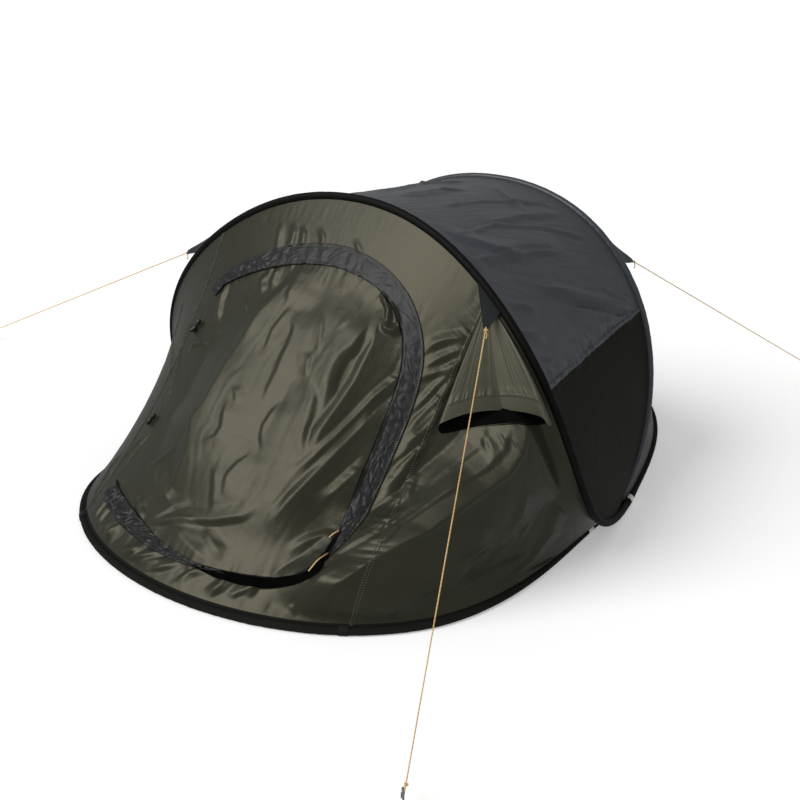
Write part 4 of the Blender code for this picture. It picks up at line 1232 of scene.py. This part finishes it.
# Folds of the roof, drawn for one half and mirrored to the other
roof_relief = Relief((0, 0), (ROOF_WIDTH, ROOF_DEPTH), FINE_STEP, scale=(ROOF_WIDTH, ROOF_DEPTH))
roof_folds = fold_rows(ROOF_FOLDS)
mirrored = [(*row[:3], "L" if row[3] == "R" else row[3], (1, 0) + row[4] * (-1, 1)) for row in roof_folds]
roof_relief.press(roof_folds, 1.4)
roof_relief.press(mirrored, 1.4)
roof_relief.steer(roof_folds + mirrored)
roof_relief.height -= 0.0014 * facets(0.6 * roof_relief.streaks(0.022, 22, 0.007, 5))
roof_relief.height -= 0.0005 * facets(0.5 * roof_relief.streaks(0.009, 12, 0.006, 6))
gather_border(roof_relief, ROOF_WIDTH, ROOF_DEPTH, (0.243, 0.757),
              (3.2, 0.035, 0.018, 26), (1.8, 0.035, 0.02, 27))
beyond_seam = np.abs(roof_relief.a / ROOF_WIDTH - 0.5) - SIDE_SEAM_SHARE
roof_relief.height *= 1 - 0.65 * smooth((beyond_seam - 0.005) / 0.02)
roof_points = points_on(roof, roof_relief, ROOF_WIDTH, ROOF_DEPTH)
low_seam = ROOF_WIDTH * (0.5 - SIDE_SEAM_SHARE)
high_seam = ROOF_WIDTH * (0.5 + SIDE_SEAM_SHARE)
sew_panels(roof_points, ROOF_DEPTH, PANEL_STEP, (
    ("roof_cloth", low_seam, high_seam, None, slate, "slate_polyester", "roof_panel"),
    ("left_side_cloth", FIRST_SHARE * ROOF_WIDTH, low_seam, None, black_cloth, "black_polyester",
     "left_side_panel"),
    ("right_side_cloth", high_seam, LAST_SHARE * ROOF_WIDTH, None, black_cloth, "black_polyester",
     "right_side_panel"),
))

# Felled seams between the roof and the black sides: raised bands, round across
for name, seam in (("left_roof_seam", low_seam), ("right_roof_seam", high_seam)):
    back = np.linspace(0.006, ROOF_DEPTH - 0.006, 220)
    rows, columns = np.meshgrid(back, np.linspace(-1, 1, 7), indexing="ij")
    flat = np.stack([seam + ROOF_BAND * columns, rows], -1)
    rise = 0.0010 + 0.0030 * (1 - columns**2) ** 0.5
    cloth_grid(name, roof_points(flat, rise), flat, slate, "slate_polyester")

# Folds of the rear, which the photograph hides: hanging folds from the arch, drawn by a seeded rule. Its
# cloth is measured from the arch down to the ground
draw = np.random.default_rng(8)
REAR_FOLDS = tuple(
    (draw.uniform(6, 14), draw.uniform(14, 60), draw.uniform(30, 90), "RL"[index % 2],
     tuple((s + 0.02 * math.sin(4 * t + index) + 0.05 * (1 - t) * (s - 0.5), t)
           for t in np.linspace(draw.uniform(0.75, 0.98), draw.uniform(0.08, 0.5), 6)))
    for index, s in enumerate(np.linspace(0.14, 0.86, 22)))
rear_relief = Relief((0, 0), (REAR_WIDTH, REAR_HEIGHT), FINE_STEP, scale=(REAR_WIDTH, REAR_HEIGHT))
rear_relief.press(REAR_FOLDS)
rear_relief.steer(REAR_FOLDS)
rear_relief.height -= 0.0014 * facets(0.6 * rear_relief.streaks(0.024, 24, 0.007, 7))
rear_relief.height -= 0.0004 * facets(0.5 * rear_relief.streaks(0.011, 12, 0.006, 8))
gather_border(rear_relief, REAR_WIDTH, REAR_HEIGHT, (1 / 3, 2 / 3),
              (1.8, 0.03, 0.016, 28), (2.0, 0.035, 0.02, 29))
rear_points = points_on(rear, rear_relief, REAR_WIDTH, REAR_HEIGHT)
low_seam = 1 / 3 * REAR_WIDTH
high_seam = 2 / 3 * REAR_WIDTH
# The rear's outer panels take the same copy with painted light
sew_panels(rear_points, REAR_HEIGHT, PLAIN_STEP, (
    ("rear_left_cloth", FIRST_SHARE * REAR_WIDTH, low_seam, None, olive_painted_side_light, "dark_olive_polyester",
     "rear_left_panel"),
    ("rear_centre_cloth", low_seam, high_seam, None, olive, "olive_polyester", "rear_centre_panel"),
    ("rear_right_cloth", high_seam, LAST_SHARE * REAR_WIDTH, None, olive_painted_side_light, "dark_olive_polyester",
     "rear_right_panel"),
))

# Sleeves round the sprung hoops: cloth tubes with small puckers square to them
UP = (0, 0, 1)
BACK = (0, 1, 0)
SLEEVES = (
    # The ground sleeves take the binding's copy whose lighter grey is painted light
    ("front_ground", ground_front, ground_binding_painted_light, "black_binding", UP, 61),
    ("rear_ground", ground_rear, ground_binding_painted_light, "black_binding", UP, 62),
    ("front_arch", arch_front, binding, "black_binding", BACK, 63),
    ("rear_arch", arch_rear, slate, "slate_polyester", BACK, 64),
)
for name, arc, look, slot, hint, seed in SLEEVES:
    length = length_of(arc)
    count = int(length / 0.006)
    path = spaced(arc, np.linspace(0, 1, count))
    run = np.linspace(0, length, count)[:, None]
    angle = np.linspace(0, 2 * np.pi, SLEEVE_SIDES, endpoint=False)[None]
    pucker = grain(run + 0.006 * np.sin(angle + seed), 0.013, seed) + 0.6 * grain(run, 0.006, seed + 1)
    flatter = 1 + 0.05 * np.cos(2 * angle)
    radius = SLEEVE_RADIUS * flatter + 0.0005 * pucker * (0.6 + 0.4 * np.sin(angle + 2 * run))
    rod(name + "_binding", path, radius, look, slot, SLEEVE_SIDES, hint, stands_for=(name + "_sleeve",))

# Hem: the binding also covers the lowest strip of the front
line = np.stack([np.linspace(-HEM_A, HEM_A, 700), np.zeros(700)], -1)
across = np.linspace(0, 1, 6)[:, None]
wave = 0.0004 * grain(line[None, :, 0] + 0 * across, 0.02, 65)
flat, points = ribbon(line, 0.0, HEM_WIDTH, 6, 0.0016 - 0.0008 * across + wave)
# Its lighter grey is painted light
cloth_grid("front_hem_binding", points, flat, ground_binding_painted_light, "black_binding", thickness=TAPE_CLOTH)


def seam_run(points_of, line, samples, rise):
    """A line of stitching over the cloth, as points and normals. A normal is the unit cross product of
    short steps across and up the cloth."""
    flat = spaced(np.asarray(line, float), np.linspace(0, 1, samples))
    beside = np.array([0.002, 0.0])
    above = np.array([0.0, 0.002])
    across = points_of(flat + beside) - points_of(flat - beside)
    upward = points_of(flat + above) - points_of(flat - above)
    return points_of(flat, rise), unit(np.cross(across, upward))


# Felled seams: a narrow raised band of cloth with two rows of stitches
front_runs = []
for name, a in (("left_front_seam", -SEAM_A), ("right_front_seam", SEAM_A)):
    line = np.stack([np.full(260, a), np.linspace(0.0, CLOTH_HEIGHT, 260)], -1)
    across = np.linspace(0, 1, 5)[:, None]
    band_rise = 0.0012 * np.sin(np.pi * across) ** 0.5 + 0.0003
    flat, points = ribbon(line, -FRONT_BAND, FRONT_BAND, 5, band_rise)
    cloth_grid(name, points, flat, olive_painted_side_light, "dark_olive_polyester")
    for shift in (-STITCH_SHIFT, STITCH_SHIFT):
        stitch_line = ((a + shift, 0.01), (a + shift, CLOTH_HEIGHT - 0.012))
        front_runs.append(seam_run(front_points, stitch_line, 300, 0.0014))
# Two rows along the storm flap's outer edge, on its piping and inside it
for inset, rise in ((0.003, 0.0055), (0.011, 0.0045)):
    front_runs.append(seam_run(front_points, offset_line(flap_path, flap_outer - inset), 500, rise))
stitches("front_seam_stitches", front_runs, pale_thread, "black_binding")

# Zip: tape with a toothed coil, round three sides of the door
zip_line = spaced(zip_path, np.linspace(0.004, 0.996, 2200))
across = np.linspace(0, 1, 7)[:, None]
flat, points = ribbon(zip_line[::6], -0.006, 0.012, 7, 0.0006 + 0.0004 * np.sin(np.pi * across))
cloth_grid("zip_tape", points, flat, binding, "black_binding")
coil_centre = front_points(offset_line(zip_line, ZIP_OFFSET), COIL_RISE)
tooth = 1 + 0.22 * np.sin(np.linspace(0, 2 * np.pi * COIL_TEETH, len(coil_centre)))
rod("zip_coil", coil_centre, COIL_RADIUS * tooth, plastic, "black_plastic", 8, stands_for=("door_zip",))

# Strip that covers the zip's lower right corner, wider in its middle
strip_line = open_spline(ZIP_STRIP, 121)
strip_reach = np.interp(np.linspace(0, 1, 121), (0, 0.10, 0.45, 0.8, 1), (0.012, 0.026, 0.030, 0.020, 0.006))
across = np.linspace(0, 1, 9)[:, None]
bulge = 0.0058 + 0.0016 * np.sin(np.pi * across)
bulge = bulge + 0.0014 * grain(strip_line[None, :, 0] + 2 * across * 0.02, 0.03, 66)
flat, points = ribbon(strip_line, -0.004, strip_reach, 9, bulge)
# Its near-black is partly painted shadow along the zip's foot
cloth_grid("zip_strip", points, flat, zip_strip_painted_shadow, "black_binding", thickness=TAPE_CLOTH)

# Sliders on the zip, each a short barrel, and their pull cords
for name, line in PULLS:
    start = np.array(line[0])
    body = front_points(start + np.linspace(-SLIDER_HALF, SLIDER_HALF, 9)[:, None] * (0.0, 1.0), SLIDER_RISE)
    wide = SLIDER_RADIUS * np.sqrt(1.05 - np.linspace(-1, 1, 9) ** 2)
    rod("zip_slider_" + name, body, wide, plastic, "black_plastic")
    path = open_spline(front_points(np.array(line), np.array(PULL_RISE)), 48)
    pull = rod("zip_pull_" + name, path, PULL_RADIUS, cord_look, "guy_rope", 8)
    length_of(path)


def knot(name, centre):
    """A round knot: cord along a trefoil about its centre."""
    turn = np.linspace(0, 2 * np.pi, 64)
    around = np.stack([np.sin(turn) + 2 * np.sin(2 * turn), np.cos(turn) - 2 * np.cos(2 * turn),
                       -np.sin(3 * turn)], -1)
    rod(name, centre + around * KNOT_SIZE / 3, KNOT_CORD, cord_look, "guy_rope", 8, (0.2, 0.3, 0.9))


def guy(name, arch, station, peg):
    """Sewn patch on the arch, rope from its tip to the peg, knots and the peg. The patch narrows evenly from
    a stretch of the arch to its tip, and the peg is a straight wire with a half turn at its top."""
    at = spaced(arch, [station - 0.004, station, station + 0.004])
    along = unit(at[2] - at[0])
    foot = np.array([*peg, ROPE_FOOT_Z])
    away = unit(foot - at[1])
    square = unit(away - along * np.dot(away, along))
    normal = np.cross(along, square)
    # Patch: rows from a stretch of the sleeve's outer side to a short tip on the rope's line
    half = PATCH_HALF / length_of(arch)
    base = spaced(arch, np.linspace(station - half, station + half, 15)) - at[1] + square * 0.010
    crosswise = unit(along - away * np.dot(along, away))
    tip = away * GUY_REACH + crosswise * np.linspace(-0.007, 0.007, 15)[:, None]
    share = np.linspace(0, 1, 16)[:, None, None]
    width = 1 - share
    patch = at[1] + base[None] * width + tip[None] * (1 - width)
    patch = patch + normal * (0.0015 + 0.0008 * np.sin(9 * share))
    across = np.linspace(-1, 1, 15)
    flat = np.stack(np.meshgrid(across * 0.045, np.linspace(0, GUY_REACH, 16)), -1)
    cloth_grid("guy_patch_cloth_" + name, patch, flat, patch_look, "black_webbing", thickness=PATCH_CLOTH,
               stands_for=("guy_patch_" + name,))
    # Rope: two strands that swap places every 12 mm
    start = at[1] + away * (GUY_REACH - 0.006)
    stop = foot - away * 0.003
    length = np.linalg.norm(stop - start)
    count = int(length / 0.0028)
    path = start + (stop - start) * np.linspace(0, 1, count)[:, None]
    angle = np.linspace(0, 2 * np.pi, 8, endpoint=False)[None]
    run = np.linspace(0, length, count)[:, None]
    strands = 1 + 0.13 * np.cos(2 * angle - 2 * np.pi * run / 0.012)
    rod("guy_cord_" + name, path, ROPE_RADIUS * strands, cord_look, "guy_rope", 8,
        stands_for=("guy_rope_" + name,))
    # Knots near both ends, and the loose tail that hangs from the upper one
    knot("guy_knot_" + name, start + away * 0.010)
    tail = start + away * 0.012 + np.linspace(0, 1, 12)[:, None] * np.array([0.004, -0.004, -0.022])
    tail[:, 0] += 0.004 * np.sin(np.linspace(0, 3, 12))
    rod("guy_tail_" + name, tail, 0.0016, cord_look, "guy_rope", 8, (1, 0, 0))
    knot("peg_knot_" + name, stop - away * 0.030)
    # Peg: up from the ground, over the half turn and a little way down
    outward = unit(np.array([away[0], away[1], 0.0]))
    ground = np.array([*peg, 0.0003])
    top = ground + (0, 0, PEG_HEIGHT)
    turn = np.linspace(0, math.pi, 17)[:, None]
    bend = top + outward * PEG_HOOK * (1 - np.cos(turn)) / 2 + np.array([0, 0, PEG_HOOK / 2]) * np.sin(turn)
    shaft = ground + (top - ground) * np.linspace(0, 1, 8)[:-1, None]
    drop = bend[-1] - np.array([0, 0, PEG_HOOK / 2]) * np.linspace(0.2, 1, 5)[:, None]
    rod("peg_rod_" + name, np.vstack([shaft, bend, drop]), PEG_RADIUS, steel, "peg_steel", 12,
        np.cross(outward, (0, 0, 1)), stands_for=("peg_" + name,))


for name, side, station, peg in GUYS:
    guy(name, arch_front if side == "front" else arch_rear, station, peg)


def folded_over(name, arc, station, width, low, high, look, slot, radius, thickness):
    """A strip folded over the ground sleeve: rings of the given radius about the sleeve's middle, from a low
    to a high angle round its outer side."""
    at = spaced(arc, [station - 0.005, station, station + 0.005])
    along = unit(at[2] - at[0])
    outward = unit(np.array([at[1][0], at[1][1], 0.0]))
    outward = unit(outward - along * np.dot(outward, along))
    angle = np.radians(np.linspace(low, high, 22))[:, None]
    ring = at[1] + radius * (np.cos(angle) * outward + np.sin(angle) * np.array([0, 0, 1.0]))
    ring[:, 2] = np.maximum(ring[:, 2], 0.002)
    across = np.linspace(width / 2, -width / 2, 9)
    grid = ring[:, None] + across[None, :, None] * along
    turned = np.cross(grid[0, 1] - grid[0, 0], grid[1, 0] - grid[0, 0])
    grid = grid if np.dot(turned, outward) > 0 else grid[:, ::-1]
    flat = np.stack(np.meshgrid(across, angle[:, 0] * radius), -1)
    cloth_grid(name + "_strip", grid, flat, look, slot, thickness=thickness, stands_for=(name,))


# Webbing loops for the pegs, the left ones as far from their crossing as the right ones from theirs
for side, arc, station in (("front", ground_front, LOOP_FRONT), ("rear", ground_rear, LOOP_REAR)):
    for hand, there in (("_right", station), ("_left", 1 - station)):
        folded_over("peg_loop_" + side + hand, arc, there, 0.028, -34, 110, webbing, "black_webbing",
                    0.0148, 0.0018)

# Toggles beside the hinge, each with a loop of elastic
for name, across, height in TOGGLES:
    run = np.linspace(-0.5, 0.5, 24)
    flat = np.stack([across + TOGGLE_SLANT * run * TOGGLE_LENGTH, height + run * TOGGLE_LENGTH], -1)
    line = front_points(flat, TOGGLE_RISE)
    waist = 1 - 0.25 * np.exp(-((run / 0.09) ** 2))
    barrel = TOGGLE_RADIUS * np.sqrt(np.clip(1 - (2 * run) ** 8, 0.2, 1)) * waist
    rod("toggle_barrel_" + name, line, barrel, plastic, "black_plastic", 14, BACK,
        stands_for=("door_toggle_" + name,))
    turn = np.linspace(0, 2 * np.pi, 40)
    loop_flat = np.stack([across - 0.012 - 0.014 * np.cos(turn), height + 0.008 * np.sin(turn)], -1)
    loop_rise = 0.003 + 0.008 * smooth((loop_flat[:, 0] - across + 0.02) / 0.02)
    loop_points = front_points(loop_flat, loop_rise)
    rod("toggle_loop_" + name, loop_points, 0.0012, webbing, "black_webbing", 8, BACK)

# Bare sewn tags by the right crossing, folded over the outer side of the sleeves
for side, arc, station in (("front", ground_front, TAG_FRONT), ("rear", ground_rear, TAG_REAR)):
    folded_over("sewn_tag_" + side, arc, station, 0.032, -12, 100, tape_look, "pale_tape", 0.0145, 0.0009)

# Groundsheet: film laid flat between the two ground arcs
share = np.linspace(0.02, 0.98, 200)
k = np.linspace(0, 1, 120)[:, None, None]
front_side = spaced(ground_front, share)
rear_side = spaced(ground_rear, share)
floor = front_side[None] * (1 - k) + rear_side[None] * k
towards = unit(rear_side - front_side)
floor += towards[None] * 0.006 * (1 - 2 * k)
# It lies a little over the ground, with low bumps where the film crumples
floor[..., 2] = FLOOR_Z
bumps = 0.0012 * np.abs(grain(floor[..., 0] + 0.4 * floor[..., 1], 0.07, 71) + grain(floor[..., 1], 0.05, 72))
floor[..., 2] += bumps
cloth_grid("groundsheet_film", floor, floor[..., :2], floor_film, "groundsheet_film",
           thickness=FLOOR_FILM, stands_for=("groundsheet",))

# Pale floor, soft light and the camera at the photograph's angle
CAMERA_AZIMUTH = 38.67
CAMERA_ELEVATION = 22.45
CAMERA_DISTANCE = 4.665
CAMERA_TARGET = (0.013, -0.166, 0.261)
CAMERA_LENS = 63.0


def from_target(azimuth, elevation, distance):
    """A place seen from the target at an azimuth from the front and an elevation, in degrees."""
    azimuth = math.radians(azimuth)
    elevation = math.radians(elevation)
    back = Vector((math.sin(azimuth) * math.cos(elevation), -math.cos(azimuth) * math.cos(elevation),
                   math.sin(elevation)))
    return Vector(CAMERA_TARGET) + back * distance


def aimed(name, data, location):
    """An object in the scene at a location, turned to look at the target."""
    obj = bpy.data.objects.new(name, data)
    obj.location = location
    obj.rotation_euler = (Vector(CAMERA_TARGET) - obj.location).to_track_quat("-Z", "Y").to_euler()
    bpy.context.scene.collection.objects.link(obj)
    return obj


def sun_light(name, azimuth, elevation, angle, strength):
    """A far, broad studio lamp: angle is how wide it looks, in degrees."""
    data = bpy.data.lights.new(name, "SUN")
    data.angle = math.radians(angle)
    data.energy = strength
    aimed(name, data, from_target(azimuth, elevation, 5.0))


ground_mesh = bpy.data.meshes.new("studio_floor")
ground_mesh.from_pydata([(-30, -30, 0), (30, -30, 0), (30, 30, 0), (-30, 30, 0)], [], [(0, 1, 2, 3)])
studio_floor = bpy.data.objects.new("studio_floor", ground_mesh)
bpy.context.scene.collection.objects.link(studio_floor)
# Matt white paper, lit a little from within so that it stays as bright as the photograph's background
pale = bpy.data.materials.new("pale_studio_floor")
pale.use_nodes = True
matt = pale.node_tree.nodes["Principled BSDF"]
matt.inputs["Base Color"].default_value = colour("FCFCFA")
matt.inputs["Roughness"].default_value = 0.9
matt.inputs["Emission Color"].default_value = (1, 1, 1, 1)
matt.inputs["Emission Strength"].default_value = 0.32
ground_mesh.materials.append(pale)
studio_floor.visible_glossy = False

sun_light("key_light", -33, 44, 40, 1.90)
world = bpy.data.worlds.new("studio_world")
world.use_nodes = True
sky = world.node_tree.nodes["Background"]
sky.inputs["Color"].default_value = colour("E8EAEC")
sky.inputs["Strength"].default_value = 0.40
bpy.context.scene.world = world
bpy.context.scene.view_settings.view_transform = "Standard"

camera_data = bpy.data.cameras.new("photo_camera")
camera_data.lens = CAMERA_LENS
camera_data.sensor_width = 36.0
camera_place = from_target(CAMERA_AZIMUTH, CAMERA_ELEVATION, CAMERA_DISTANCE)
bpy.context.scene.camera = aimed("photo_camera", camera_data, camera_place)
